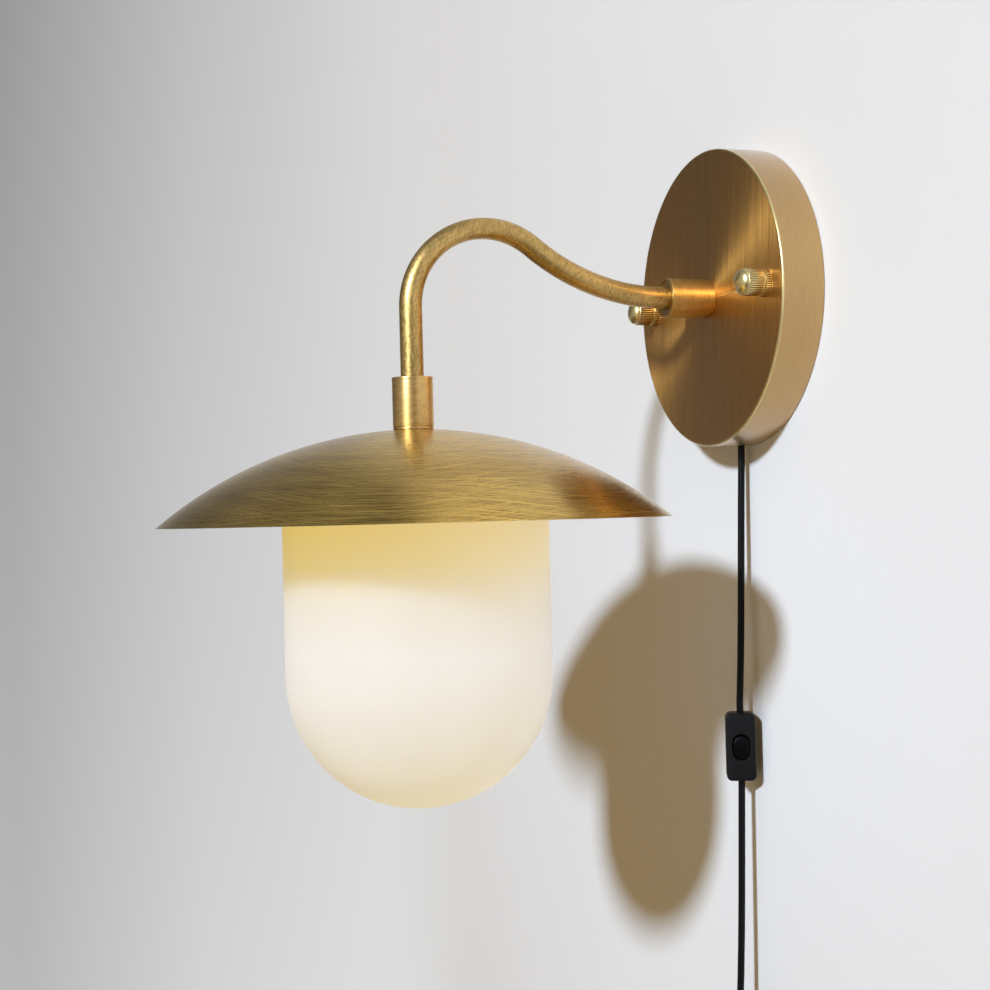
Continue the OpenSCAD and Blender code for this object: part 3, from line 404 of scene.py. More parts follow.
# %% Arm
ARM_R, ARM_WALL = 4.7, 0.75
LOW_BEND_R, TOP_BEND_R, ARM_SLOPE = 95.0, 33.0, math.radians(37.6)
LOW_STEPS, TOP_STEPS, TUBE_SIDES = 24, 64, 40
BEND_SUM = LOW_BEND_R + TOP_BEND_R
TOP_Y, TOP_Z = TOP_BEND_R - REACH, BEND_SUM * (1 - math.cos(ARM_SLOPE)) - TOP_BEND_R
LOW_Y = TOP_Y + BEND_SUM * math.sin(ARM_SLOPE)


def arm_route(start_y, end_z):
    """The arm's middle line, from the plate to the shade."""
    line = [(0, start_y + (LOW_Y - start_y) * k / 4, 0) for k in range(4)]
    for k in range(LOW_STEPS):
        a = ARM_SLOPE * k / LOW_STEPS
        line.append((0, LOW_Y - LOW_BEND_R * math.sin(a), LOW_BEND_R * (1 - math.cos(a))))
    for k in range(TOP_STEPS + 1):
        a = ARM_SLOPE - (math.pi / 2 + ARM_SLOPE) * k / TOP_STEPS
        line.append((0, TOP_Y + TOP_BEND_R * math.sin(a), TOP_Z + TOP_BEND_R * math.cos(a)))
    line += [(0, -REACH, TOP_Z + (end_z - TOP_Z) * k / 8) for k in range(1, 9)]
    return line


# %% The tube, squeezed in its bends
ARM_FOOT, ARM_END = -PLATE_DEPTH - 0.02, -54.55
arm_line = arm_route(ARM_FOOT, ARM_END)
BENDS = ((60, 22, 0.45), (18, 16, 0.12))


def flattened(i, r):
    """Half widths across and in the bend. Each bend has its middle row, its spread and its squeeze."""
    squeeze = sum(most * math.exp(-((i - middle) / spread) ** 2) for middle, spread, most in BENDS)
    return (r + 0.25 * squeeze, r - squeeze)


outside = rings_along(arm_line, lambda i: flattened(i, ARM_R), TUBE_SIDES)
bore = rings_along(arm_line, lambda i: flattened(i, ARM_R - ARM_WALL), TUBE_SIDES)
arm = skin("swan_neck_arm", outside + bore[::-1], closed=True)
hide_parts("arm_tube")
print("arm rises to z, in mm:", round(TOP_Z + TOP_BEND_R, 2))

# %% Leads inside the arm
LEAD_START = [
    (0, -8, -31), (0, -8, -26), (0, -7.6, -18), (0, -6.6, -10), (0, -6.4, -4.6), (0, -8.2, -1.2),
    (0, -11.4, 0), (0, -16, 0),
]
LEAD_R, LEAD_END = 0.75, -70.9
lead_line = smooth_line(LEAD_START, 4)[:-1] + [Vector(p) for p in arm_route(LEAD_START[-1][1], LEAD_END)]
leads = []
for name, x in (("lead_black", -1), ("lead_white", 1)):
    lead = swept(name, [p + Vector((x, 0, 0)) for p in lead_line], LEAD_R, sides=10)
    leads.append(lead)
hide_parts("lead_wires")
print("leads:", len(leads))

# %% [markdown]
# ## The shade
# The shade is spun: a disc of sheet is pressed over a form on a lathe, which leaves a cap of a
# sphere with faint rings. One shell with the sheet's real thickness gives the thin bright line at
# its rim, which a plain surface would lose.

# %% Dome shade
SHADE_TOP, SPHERE_R, SHADE_SHEET, RIM_R = -55.6, 160.0, 1.0, 102.5
SPHERE_Z = SHADE_TOP - SPHERE_R


def cap_line(radius, from_r, to_r, rows=40):
    """Points along a sphere's meridian, from one distance off the axis to another."""
    a, b = math.asin(from_r / radius), math.asin(to_r / radius)
    angles = [a + (b - a) * k / rows for k in range(rows + 1)]
    return [(radius * math.sin(t), SPHERE_Z + radius * math.cos(t)) for t in angles]


rim_z = cap_line(SPHERE_R, STACK_HOLE_R, RIM_R)[-1][1]
rim_in = math.sqrt((SPHERE_R - SHADE_SHEET) ** 2 - (rim_z - SPHERE_Z) ** 2)
dome_outline = cap_line(SPHERE_R, STACK_HOLE_R, RIM_R - 0.12)
dome_outline += [
    (RIM_R, rim_z + 0.02), (RIM_R - 0.08, rim_z), (rim_in + 0.12, rim_z), (rim_in, rim_z + 0.08),
]
dome_outline += cap_line(SPHERE_R - SHADE_SHEET, STACK_HOLE_R, rim_in - 0.1)[::-1]
dome = turned("spun_dome", dome_outline, on_shade_axis, steps=256)
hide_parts("dome_shade")
print("rim at z, in mm:", round(rim_z, 2))

# %% [markdown]
# ## The glass
# The glass is blown into a mould: a cylinder with a half-round end, a soft shoulder and a short
# neck. Its wall is 3 mm, and the neck's edge is fire-polished round.

# %% Opal glass
GLASS_R, GLASS_WALL, NECK_R = 53.4, 3.0, 28.0
GLASS_TOP, GLASS_MIDDLE, NECK_LEN, SHOULDER_R, NECK_FILLET = -62.1, -153.1, 15.5, 14.0, 1.6


def glass_line(inset):
    """Half outline from the neck down over the shoulder and side to the bottom, moved in by inset."""
    r, corner = GLASS_R - inset, SHOULDER_R - inset
    shoulder = GLASS_TOP - NECK_LEN - inset
    neck, fillet = NECK_R - inset, NECK_FILLET
    line = [(neck, shoulder + 3.0), (neck, shoulder + fillet)]
    line += [
        (neck + fillet * (1 - math.cos(t)), shoulder + fillet * (1 - math.sin(t)))
        for t in (math.pi / 2 * k / 6 for k in range(1, 7))
    ]
    line += [
        (r - corner + corner * math.sin(t), shoulder - corner + corner * math.cos(t))
        for t in (math.pi / 2 * k / 14 for k in range(15))
    ]
    line += [(r, shoulder - corner + (GLASS_MIDDLE - shoulder + corner) * k / 12) for k in range(1, 12)]
    line += [
        (r * math.cos(t), GLASS_MIDDLE - r * math.sin(t))
        for t in (math.pi / 2 * k / 40 for k in range(41))
    ]
    return line


HALF_WALL, LIP_H = GLASS_WALL / 2, 1.2
lip = [(NECK_R - GLASS_WALL, GLASS_TOP - 3), (NECK_R - GLASS_WALL, GLASS_TOP - LIP_H)]
lip += [
    (NECK_R - HALF_WALL - HALF_WALL * math.cos(t), GLASS_TOP - LIP_H + LIP_H * math.sin(t))
    for t in (math.pi * k / 10 for k in range(1, 10))
]
lip += [(NECK_R, GLASS_TOP - LIP_H), (NECK_R, GLASS_TOP - 3)]
glass_outline = lip + glass_line(0) + glass_line(GLASS_WALL)[::-1]
glass = turned("opal_globe", glass_outline, on_shade_axis, steps=160, body="glass")
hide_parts("opal_glass")
print("glass hangs to z, in mm:", round(GLASS_MIDDLE - GLASS_R, 2))

# %% [markdown]
# ## Switch, tie and plug
# Moulded plastic pieces are stacks of rounded outlines: an outline, the same one a little smaller
# where an edge is rounded, and an oval one where a window opens. Each row has equally many points,
# so the stack joins without gaps.

# %% Outlines for mouldings
def rounded_block(w, h, r, count=72):
    """Points round a rectangle with rounded corners, evenly by angle round each corner."""
    ring = []
    for cx, cy, turn in ((1, 1, 0), (-1, 1, 1), (-1, -1, 2), (1, -1, 3)):
        for k in range(count // 4):
            a = math.pi / 2 * (turn + k / (count // 4 - 1))
            ring.append((cx * (w / 2 - r) + r * math.cos(a), cy * (h / 2 - r) + r * math.sin(a)))
    return ring


def stack(name, layers, place, closed=False, **how):
    """Joins outlines at heights. Each layer is (outline, height)."""
    return skin(name, [[place(x, y, z) for x, y in ring] for ring, z in layers], closed=closed, **how)


# %% Switch
SWITCH_PLACE, SWITCH_TURN = Vector((0, -8.3, -193)), math.radians(63.4)
SWITCH_W, SWITCH_H, SWITCH_T, SWITCH_SPLIT, SHELL_WALL = 12.8, 28.9, 10.8, 4.8, 1.45
ROCKER_W, ROCKER_H, ROCKER_ROOM = 6.6, 10.4, 0.35


def on_switch(x, y, z):
    """From the switch lying on its back, face up, to its place on the cord."""
    flat = Vector((x, SWITCH_T / 2 - z, y))
    return tuple(SWITCH_PLACE + Matrix.Rotation(SWITCH_TURN, 3, "Z") @ flat)


def switch_ring(inset):
    return rounded_block(SWITCH_W - 2 * inset, SWITCH_H - 2 * inset, 2.4 - inset * 0.7)


def oval(w, h):
    """A rectangle whose short sides are half round."""
    return rounded_block(w, h, w / 2 - 0.001)


def window(wider):
    """The rocker's opening, flared by some millimetres."""
    grow = 2 * ROCKER_ROOM + wider
    return oval(ROCKER_W + grow, ROCKER_H + grow)


front_rows = [
    (switch_ring(0.18), SWITCH_SPLIT + 0.02), (switch_ring(0.04), SWITCH_SPLIT + 0.12),
    (switch_ring(0), SWITCH_SPLIT + 0.3), (switch_ring(0), SWITCH_T - 1.0),
    (switch_ring(0.06), SWITCH_T - 0.75), (switch_ring(0.62), SWITCH_T - 0.1),
    (switch_ring(0.8), SWITCH_T - 0.03), (switch_ring(1.0), SWITCH_T),
    (window(1.6), SWITCH_T), (window(0.5), SWITCH_T - 0.02), (window(0.1), SWITCH_T - 0.2),
    (window(0), SWITCH_T - 0.5), (window(0), SWITCH_T - 1.4),
    (switch_ring(SHELL_WALL), SWITCH_T - 1.4), (switch_ring(SHELL_WALL), SWITCH_SPLIT + 0.02),
]
switch_front = stack("switch_shell_front", front_rows, on_switch, closed=True)
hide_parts("switch_front")
back_rows = [
    (switch_ring(1.2), 0.0), (switch_ring(0.5), 0.08), (switch_ring(0.1), 0.45), (switch_ring(0), 0.9),
    (switch_ring(0), SWITCH_SPLIT - 0.3), (switch_ring(0.04), SWITCH_SPLIT - 0.12),
    (switch_ring(0.18), SWITCH_SPLIT - 0.02), (switch_ring(SHELL_WALL), SWITCH_SPLIT - 0.02),
    (switch_ring(SHELL_WALL), 1.4),
]
switch_back = stack("switch_shell_back", back_rows, on_switch)
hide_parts("switch_back")

# %% Rocker
ROCKER_TILT, ROCKER_DEPTH, ROCKER_STANDS, CROWN = math.radians(7), 2.2, 0.9, 32
PIVOT_Z = SWITCH_T - ROCKER_DEPTH


def on_rocker(x, y, z):
    """The rocker's own height starts at its pivot, and it rests tilted to one side."""
    c, s = math.cos(ROCKER_TILT), math.sin(ROCKER_TILT)
    return on_switch(x, y * c - z * s, PIVOT_Z + y * s + z * c)


def rocker_row(inset, drop):
    """An oval that follows the button's gentle crown along its length."""
    top = ROCKER_DEPTH + ROCKER_STANDS - drop
    ring = oval(ROCKER_W - 2 * inset, ROCKER_H - 2 * inset)
    return [on_rocker(x, y, top - y * y / CROWN) for x, y in ring]


rocker_rows = [[on_rocker(x, y, -1.8) for x, y in oval(ROCKER_W, ROCKER_H)]]
rocker_rows += [rocker_row(inset, drop) for inset, drop in (
    (0, 0.6), (0.06, 0.28), (0.25, 0.1), (0.55, 0.02), (1.2, 0.0), (2.2, 0.02), (3.0, 0.05),
)]
rocker = skin("switch_button", rocker_rows, body="rocker", sharp=50)
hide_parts("switch_rocker")
print("rocker's tilt at rest, in degrees:", round(math.degrees(ROCKER_TILT)))

# %% Tie
TIE_TURN, TIE_W, TIE_T, TIE_ROOM = math.radians(34), 5.0, 0.8, 0.3
COIL_DEPTH = (LAYERS - 1) * COIL_PITCH
tie_across = COIL_OUT_R - COIL_IN_R + 2 * CORD_R + 2 * TIE_ROOM
tie_deep = COIL_DEPTH + 2 * CORD_R + 2 * TIE_ROOM


def on_tie(x, y, z):
    """x runs from the wall outwards through the coil, y away from its middle and z along the turns."""
    out = Vector((math.sin(TIE_TURN), 0, math.cos(TIE_TURN)))
    along = Vector((math.cos(TIE_TURN), 0, -math.sin(TIE_TURN)))
    middle = COIL_MIDDLE + Vector((0, COIL_DEPTH / 2, 0)) + out * (COIL_OUT_R + COIL_IN_R) / 2
    return tuple(middle + Vector((0, x, 0)) + out * y + along * z)


def tie_ring(grow):
    return rounded_block(tie_deep + 2 * grow, tie_across + 2 * grow, 1.2 + grow)


tie_edge = TIE_W / 2
tie = stack("cord_strap", [
    (tie_ring(0), -tie_edge + 0.15), (tie_ring(0.15), -tie_edge), (tie_ring(TIE_T - 0.15), -tie_edge),
    (tie_ring(TIE_T), -tie_edge + 0.2), (tie_ring(TIE_T), tie_edge - 0.2),
    (tie_ring(TIE_T - 0.15), tie_edge), (tie_ring(0.15), tie_edge), (tie_ring(0), tie_edge - 0.15),
], on_tie, closed=True)
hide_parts("cord_tie")
lap_edge, lap_full = rounded_block(0.5, 7.0, 0.2), rounded_block(0.75, 7.6, 0.3)
lap = stack("strap_end", [
    (lap_edge, -tie_edge + 0.05), (lap_full, -tie_edge + 0.3),
    (lap_full, tie_edge - 0.3), (lap_edge, tie_edge - 0.05),
], lambda x, y, z: on_tie(x - tie_deep / 2 - TIE_T - 0.38, y, z))
print("strap round the coil, in mm:", round(tie_deep, 1), "by", round(tie_across, 1))

# %% Plug
PLUG_W, PLUG_T, PLUG_LEN, RELIEF_LEN = 24.0, 13.0, 23.0, 12.0
SHOULDER, PLUG_NECK_W, PLUG_NECK_T = 8.0, 9.0, 8.0
PLUG_HEIGHTS = (0.9, 2, 3.5, 5, 6.2, 7.4, 8.6, 10, 11.4, 12.8, 14, 14.8, 15.8, 18, 20, 21.6, 22.6)
PLUG_BOTTOM = CORD_END.z - RELIEF_LEN - PLUG_LEN


def on_plug(x, y, z):
    return (CORD_END.x + x, CORD_END.y + y, PLUG_BOTTOM + z)


def plug_row(z):
    """The plug's outline at a height over its face: waisted for the fingers, then its shoulders."""
    up = max(0.0, (z - (PLUG_LEN - SHOULDER)) / SHOULDER)
    w, t = PLUG_W + (PLUG_NECK_W - PLUG_W) * up, PLUG_T + (PLUG_NECK_T - PLUG_T) * up
    waist = z - (PLUG_LEN - SHOULDER - 5)
    w -= 2 * max(0.0, 1.4 - waist * waist / 20) * (up == 0)
    return rounded_block(w - 0.1, t - 0.1, min(4.0, t / 2 - 0.1, w / 2 - 0.1))


plug_rows = [
    (rounded_block(PLUG_W - 1.8, PLUG_T - 1.8, 3.2), 0.02),
    (rounded_block(PLUG_W - 0.7, PLUG_T - 0.7, 3.7), 0.25),
]
plug_rows += [(plug_row(z), z) for z in PLUG_HEIGHTS]
plug_rows += [(rounded_block(8.0, 7.4, 3.6), 22.95)]
relief = [(rounded_block(2 * r, 2 * r, r - 0.01), PLUG_LEN + z) for r, z in (
    (3.35, 0.1), (3.25, 1.4), (2.75, 1.5), (2.7, 2.3), (3.05, 2.4), (3.0, 3.8), (2.55, 3.9), (2.5, 4.7),
    (2.8, 4.8), (2.75, 6.2), (2.35, 6.3), (2.3, 7.1), (2.55, 7.2), (2.5, 8.6), (2.15, 8.7), (2.1, 9.5),
    (2.3, 9.6), (2.2, 11.6), (1.95, 11.95),
)]
plug = stack("plug_moulding", plug_rows + relief, on_plug, sharp=40)
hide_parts("plug_body")
print("plug's face at z, in mm:", round(PLUG_BOTTOM, 1))

# %% All pieces made
print("all pieces made")

# %% [markdown]
# ## Brass
# Antique brass is brass that has been darkened and then brushed back, so it is gold along the
# brush marks and olive brown between them. The brush marks are long, thin noise: the object's own
# coordinates are stretched along the grain and squeezed across it. The same marks drive the
# colour, the roughness and a very small bump, and the shader's anisotropy spreads highlights
# across the grain.

# %% Node helpers
def feed(tree, node, inputs):
    """Joins or sets a node's inputs, by name or number."""
    for key, value in dict(inputs).items():
        if isinstance(value, bpy.types.NodeSocket):
            tree.links.new(value, node.inputs[key])
        else:
            node.inputs[key].default_value = value


def node_adder(tree):
    """A short way to add nodes to a tree and join them."""
    def add(kind, inputs=(), **settings):
        node = tree.nodes.new("ShaderNode" + kind)
        for key, value in settings.items():
            setattr(node, key, value)
        feed(tree, node, inputs)
        return node

    return add


def new_finish(name):
    """A material, its tree, its shader and the means to add nodes to the tree."""
    finish = bpy.data.materials.new(name)
    finish.use_nodes = True
    tree = finish.node_tree
    return finish, tree, tree.nodes["Principled BSDF"], node_adder(tree)


# %% Short names for the nodes that return
def figure(add, operation, *values):
    """One step of arithmetic on numbers and sockets."""
    return add("Math", dict(enumerate(values)), operation=operation).outputs[0]


def ranged(add, value, low, high, to_low, to_high, **how):
    """Maps a value from one range onto another."""
    return add("MapRange", {0: value, 1: low, 2: high, 3: to_low, 4: to_high}, **how).outputs[0]


def noise(add, place, scale, detail=2.0, rough=0.5):
    """Cloudy values about a half."""
    return add("TexNoise", {"Vector": place, "Scale": scale, "Detail": detail, "Roughness": rough}).outputs[0]


def bumps(add, height, strength, depth):
    return add("Bump", {"Height": height, "Strength": strength, "Distance": depth}).outputs[0]


def mixed(add, share, first, second):
    return add("MixShader", {0: share, 1: first, 2: second}).outputs[0]


def ramp(add, value, stops):
    """A colour ramp; each stop is (position, colour)."""
    node = add("ValToRGB", {"Fac": value})
    points = node.color_ramp.elements
    while len(points) < len(stops):
        points.new(0.5)
    for point, (position, colour) in zip(points, stops):
        point.position = position
        point.color = (*colour, 1)
    return node.outputs["Color"]


# %% Grain coordinates
def tipped(add, place, turn):
    """Coordinates turned by an angle round each axis."""
    return add("VectorRotate", {"Vector": place, "Rotation": turn}, rotation_type="EULER_XYZ").outputs[0]


def stretched(add, place, scale):
    return add("VectorMath", {0: place, 1: scale}, operation="MULTIPLY").outputs[0]


def grain_upright(add, lean=-0.1):
    """Long marks along z, leaning a little, on a flat face."""
    place = add("TexCoord").outputs["Object"]
    return [stretched(add, tipped(add, place, (0, lean, 0)), (1.0, 0.3, 0.016))]


def grain_turned(add, centre, axis, spread=0.0022, tilts=((0.0, 0.0),)):
    """Marks that run round an axis, fast along and away from it and slow round it, once for each tilt.

    A tilt tips the axis: first to the side, then towards the front.
    """
    place = add("TexCoord").outputs["Object"]
    own = add("VectorMath", {0: place, 1: centre}, operation="SUBTRACT").outputs[0]
    keep = {"Y": (1, 0, 1), "Z": (1, 1, 0)}[axis]
    lines = []
    for tilt in tilts:
        tilted = tipped(add, own, (*tilt, 0))
        flat = stretched(add, tilted, keep)
        radius = add("VectorMath", {0: flat}, operation="LENGTH").outputs["Value"]
        around = add("VectorMath", {0: flat}, operation="NORMALIZE").outputs[0]
        slow = add("VectorMath", {0: around, "Scale": spread}, operation="SCALE").outputs[0]
        along = add("SeparateXYZ", {0: tilted}).outputs[axis]
        lift = add("CombineXYZ", {axis: figure(add, "SUBTRACT", radius, along)}).outputs[0]
        lines.append(add("VectorMath", {0: slow, 1: lift}, operation="ADD").outputs[0])
    return lines


def grain_crossed(add):
    """Short marks of an abrasive pad that was rubbed to and fro over a bent tube."""
    place = add("TexCoord").outputs["Object"]
    turned_places = [tipped(add, place, (turn, 0, 0)) for turn in (0.3, -0.25, 1.1)]
    return [stretched(add, turned_place, (0.5, 1.0, 0.05)) for turned_place in turned_places]


# %% [markdown]
# Where several families of marks cross, their average gives an even haze. Their highest value
# instead lets the bright scratches of each family lie over the others, as a hand-held pad leaves
# them on a spun shade.

# %% Families of marks joined
HIGHEST_GAIN = 0.035


def mean(add, values):
    """The average of some values."""
    total = values[0]
    for value in values[1:]:
        total = figure(add, "ADD", total, value)
    return figure(add, "MULTIPLY", total, 1 / len(values))


def highest(add, values):
    """The highest of some values, less about what the choice gains on average."""
    top = values[0]
    for value in values[1:]:
        top = figure(add, "MAXIMUM", top, value)
    return figure(add, "ADD", top, HIGHEST_GAIN * (1 - len(values)))


# %% Brass finish
COAT_ROUGH, MARK_DEPTH, CONTRAST = 0.25, 0.00003, 0.2
WIDER, WEAR_SCALE, WEAR = 7, 22.0, 0.12


def brass(name, grain, pale, dark, rough=0.4, spread=0.05, bump=0.25, marks=1800, broad=0.2,
          coat=0.3, across=None, joined=mean):
    """Brushed brass. grain makes its coordinates, pale and dark are the metal along and between marks.

    across is the axis, the quarter turns and the strength with which brush marks spread a highlight.
    """
    finish, tree, shader, add = new_finish(name)
    lines = grain(add)
    fine = joined(add, [noise(add, line, marks, 3.0, 0.7) for line in lines])
    wide = mean(add, [noise(add, line, marks / WIDER) for line in lines])
    cloud = noise(add, add("TexCoord").outputs["Object"], WEAR_SCALE)
    streak = figure(add, "MULTIPLY_ADD", wide, broad, figure(add, "MULTIPLY", fine, 1 - broad))
    worn = figure(add, "ADD", streak, figure(add, "MULTIPLY_ADD", cloud, WEAR, -WEAR / 2))
    reach = CONTRAST / len(lines) ** 0.5
    low, high = 0.5 - reach, 0.5 + reach
    feed(tree, shader, {
        "Base Color": ramp(add, worn, [(low, dark), (high, pale)]),
        "Roughness": ranged(add, streak, low, high, rough - spread, rough + spread),
        "Normal": bumps(add, fine, bump, MARK_DEPTH),
        "Metallic": 1.0, "Coat Weight": coat, "Coat Roughness": COAT_ROUGH,
    })
    if across:
        axis, quarters, strength = across
        feed(tree, shader, {
            "Tangent": add("Tangent", direction_type="RADIAL", axis=axis).outputs[0],
            "Anisotropic": strength, "Anisotropic Rotation": 0.25 * quarters,
        })
    return finish


# %% Every brass of the lamp
SHADE_CENTRE = (0, -REACH * MM, 0)
COLLAR_TILTS = ((0.0, 0.0), (0.2, 0.1))
DOME_TILTS = ((0.0, 0.05), (0.3, 0.5), (-0.34, 0.42))
plate_face = brass(
    "brass_plate_face", grain_upright, (0.92, 0.45, 0.10), (0.64, 0.32, 0.065),
    marks=2200, broad=0.1, coat=1.0, across=("Y", 0.81, 0.8),
)
plate_rim = brass(
    "brass_plate_rim", lambda add: grain_turned(add, (0, 0, 0), "Y"),
    (0.60, 0.375, 0.14), (0.50, 0.31, 0.115), marks=2800, broad=0.05, coat=1.0, across=("Y", 1, 0.6),
)
# The two collars are the same part. The one on the plate is painted darker, as painted shade, and the one on
# the shade paler, as painted light.
collar_plate = brass(
    "brass_plate_collar", lambda add: grain_turned(add, (0, 0, 0), "Y", 0.0006, COLLAR_TILTS),
    (0.84, 0.54, 0.18), (0.48, 0.29, 0.08),
    rough=0.45, marks=2600, broad=0.1, bump=0.5, across=("Y", 1, 0.5),
)
collar_shade = brass(
    "brass_shade_collar", lambda add: grain_turned(add, SHADE_CENTRE, "Z", 0.0006, COLLAR_TILTS),
    (0.97, 0.65, 0.25), (0.56, 0.35, 0.12),
    rough=0.44, marks=2600, broad=0.1, bump=0.5, across=("Z", 1, 0.6),
)
arm_finish = brass(
    "brass_arm", grain_crossed, (0.84, 0.56, 0.19), (0.26, 0.155, 0.042),
    rough=0.42, spread=0.08, marks=2000, bump=0.8, broad=0.15,
)
dome_finish = brass(
    "brass_dome", lambda add: grain_turned(add, SHADE_CENTRE, "Z", 0.0008, DOME_TILTS),
    (0.98, 0.66, 0.17), (0.33, 0.195, 0.035),
    rough=0.28, broad=0.05, bump=0.9, across=("Z", 1, 0.7), joined=highest,
)
bright = brass(
    "brass_bright", grain_crossed, (1.0, 0.82, 0.38), (0.90, 0.68, 0.28), rough=0.34, bump=0.1, coat=1.0,
)
groove_brass = brass(
    "brass_groove", grain_crossed, (0.24, 0.14, 0.045), (0.10, 0.055, 0.016), rough=0.5, coat=0.0,
)
print("brass finishes:", sum(m.name.startswith("brass") for m in bpy.data.materials))


# %% Paint the brass pieces
BEVEL, RIM_EDGE = 0.8, 0.09
GROOVES = ((3.6, 9.8, 5.47), (0.2, 2.4, 5.82))


def paint(piece, *finishes, where=None):
    """Gives a piece its finishes. where(x, y, z) picks the number of a face's finish, in millimetres."""
    piece.data.materials.clear()
    for finish in finishes:
        piece.data.materials.append(finish)
    for face in piece.data.polygons:
        face.material_index = where(*(face.center / MM)) if where else 0


def plate_part(x, y, z):
    """0 the flat face, 1 the rim and inside, 2 the bright bevel between them."""
    if y < -PLATE_DEPTH + 0.01:
        return 0
    return 2 if y < -PLATE_DEPTH + BEVEL and math.hypot(x, z) > PLATE_R - BEVEL else 1


def dome_part(x, y, z):
    """1 at the sheet's bare edge."""
    return 1 if z < rim_z + RIM_EDGE else 0


def nut_part(x, y, z):
    """1 in the grooves between the ridges, which get the dark brass."""
    r, h = math.hypot(x, z), -y - PLATE_DEPTH
    return 1 if any(foot < h < top and r < depth for foot, top, depth in GROOVES) else 0


paint(wall_plate, plate_face, plate_rim, bright, where=plate_part)
paint(plate_collar, collar_plate)
paint(shade_collar, collar_shade)
paint(washer, collar_shade)
paint(arm, arm_finish)
paint(dome, dome_finish, bright, where=dome_part)
for name, x in NUTS:
    paint(bpy.data.objects[name], bright, groove_brass, where=lambda px, y, z, x=x: nut_part(px - x, y, z))
for name in (
    "glass_holder", "thumbscrew_a", "thumbscrew_b", "thumbscrew_c", "arm_nipple", "arm_lock_nut",
    "shade_nipple", "shade_lock_nut", "screw_shell", "centre_contact", "switch_contacts",
):
    paint(nodes[name], bright)
print("painted in brass")

# %% [markdown]
# ## Opal glass
# Opal glass is milky all the way through and etched satin outside. Light goes in, wanders and comes
# out elsewhere, which subsurface scattering does. The bulb inside is lit low, and its glow is painted
# into the glass as emission: nearly white beside the bulb and golden at the bottom. Just under the
# shade it is golden with no blue, a painted shadow of the shade, and on the wall's side it is a
# little paler, painted light from the wall.

# %% Opal glass finish
GLOW_HEIGHTS, WALL_LIGHT_DEPTHS = (-0.2065, -0.09), (-0.20, -0.10)
# The glow painted into the glass, from the bottom up. The golden stops without blue at 0.85 and 0.95, just
# under the shade's rim, are the painted shadow of the shade.
GLOW_AND_SHADE_BAND = [
    (0.0, (0.248, 0.168, 0.022)), (0.25, (0.25, 0.21, 0.14)), (0.55, (0.295, 0.27, 0.255)),
    (0.72, (0.28, 0.24, 0.17)), (0.85, (0.295, 0.205, 0.03)), (0.95, (0.30, 0.19, 0.0)),
]
# Painted light from the wall, which makes the glass a little paler on the wall's side.
WALL_PAINTED_LIGHT = (0.0, 0.02, 0.07)
MILK = [(0.3, (0.55, 0.60, 0.66)), (0.7, (0.57, 0.62, 0.68))]

opal, tree, shader, add = new_finish("opal_satin_glass")
place = add("TexCoord").outputs["Object"]
parts = add("SeparateXYZ", {0: place}).outputs
level = ranged(add, parts["Z"], *GLOW_HEIGHTS, 0.0, 1.0)
cloud = noise(add, place, 30.0)
etch = noise(add, place, 2600.0)
warmth = figure(add, "ADD", level, figure(add, "MULTIPLY_ADD", cloud, 0.06, -0.03))
# The painted light from the wall grows towards the wall and upwards.
side = figure(add, "MULTIPLY", ranged(add, parts["Y"], *WALL_LIGHT_DEPTHS, 0.0, 1.0), level)
painted_wall_light = add("VectorMath", {0: WALL_PAINTED_LIGHT, "Scale": side}, operation="SCALE").outputs[0]
feed(tree, shader, {
    "Base Color": ramp(add, cloud, MILK),
    "Emission Color": add("VectorMath", {0: ramp(add, warmth, GLOW_AND_SHADE_BAND), 1: painted_wall_light}, operation="ADD").outputs[0],
    "Emission Strength": 1.0,
    "Roughness": ranged(add, etch, 0.3, 0.7, 0.34, 0.44),
    "Normal": bumps(add, etch, 0.08, 0.00002),
    "Subsurface Weight": 1.0, "Subsurface Radius": (1.0, 0.9, 0.7), "Subsurface Scale": 0.08,
    "Specular IOR Level": 0.4,
})
paint(glass, opal)
print("glass finish done")

# %% [markdown]
# ## Black plastics, rubber and steel
# The cord's sheath is smooth and a little shiny, the switch and plug have the fine sparkle of a
# spark-eroded mould, and the hidden steel is zinc plated. One function makes them all: a colour
# with faint clouds, a fine grain in the roughness and a bump at the same scale.

# %% Plain finishes
def plain(name, colour, rough, grain=1200.0, bump=0.15, metal=0.0, cloudy=0.15, specular=0.5):
    """A moulded, coated or plated surface with a fine grain."""
    finish, tree, shader, add = new_finish(name)
    place = add("TexCoord").outputs["Object"]
    grit = noise(add, place, grain)
    low = [c * (1 - cloudy) for c in colour]
    high = [min(c * (1 + cloudy), 1) for c in colour]
    feed(tree, shader, {
        "Base Color": ramp(add, noise(add, place, 60.0, 3.0), [(0.3, low), (0.7, high)]),
        "Roughness": ranged(add, grit, 0.3, 0.7, rough * 0.85, rough * 1.15),
        "Normal": bumps(add, grit, bump, 0.00004),
        "Metallic": metal, "Specular IOR Level": specular,
    })
    return finish


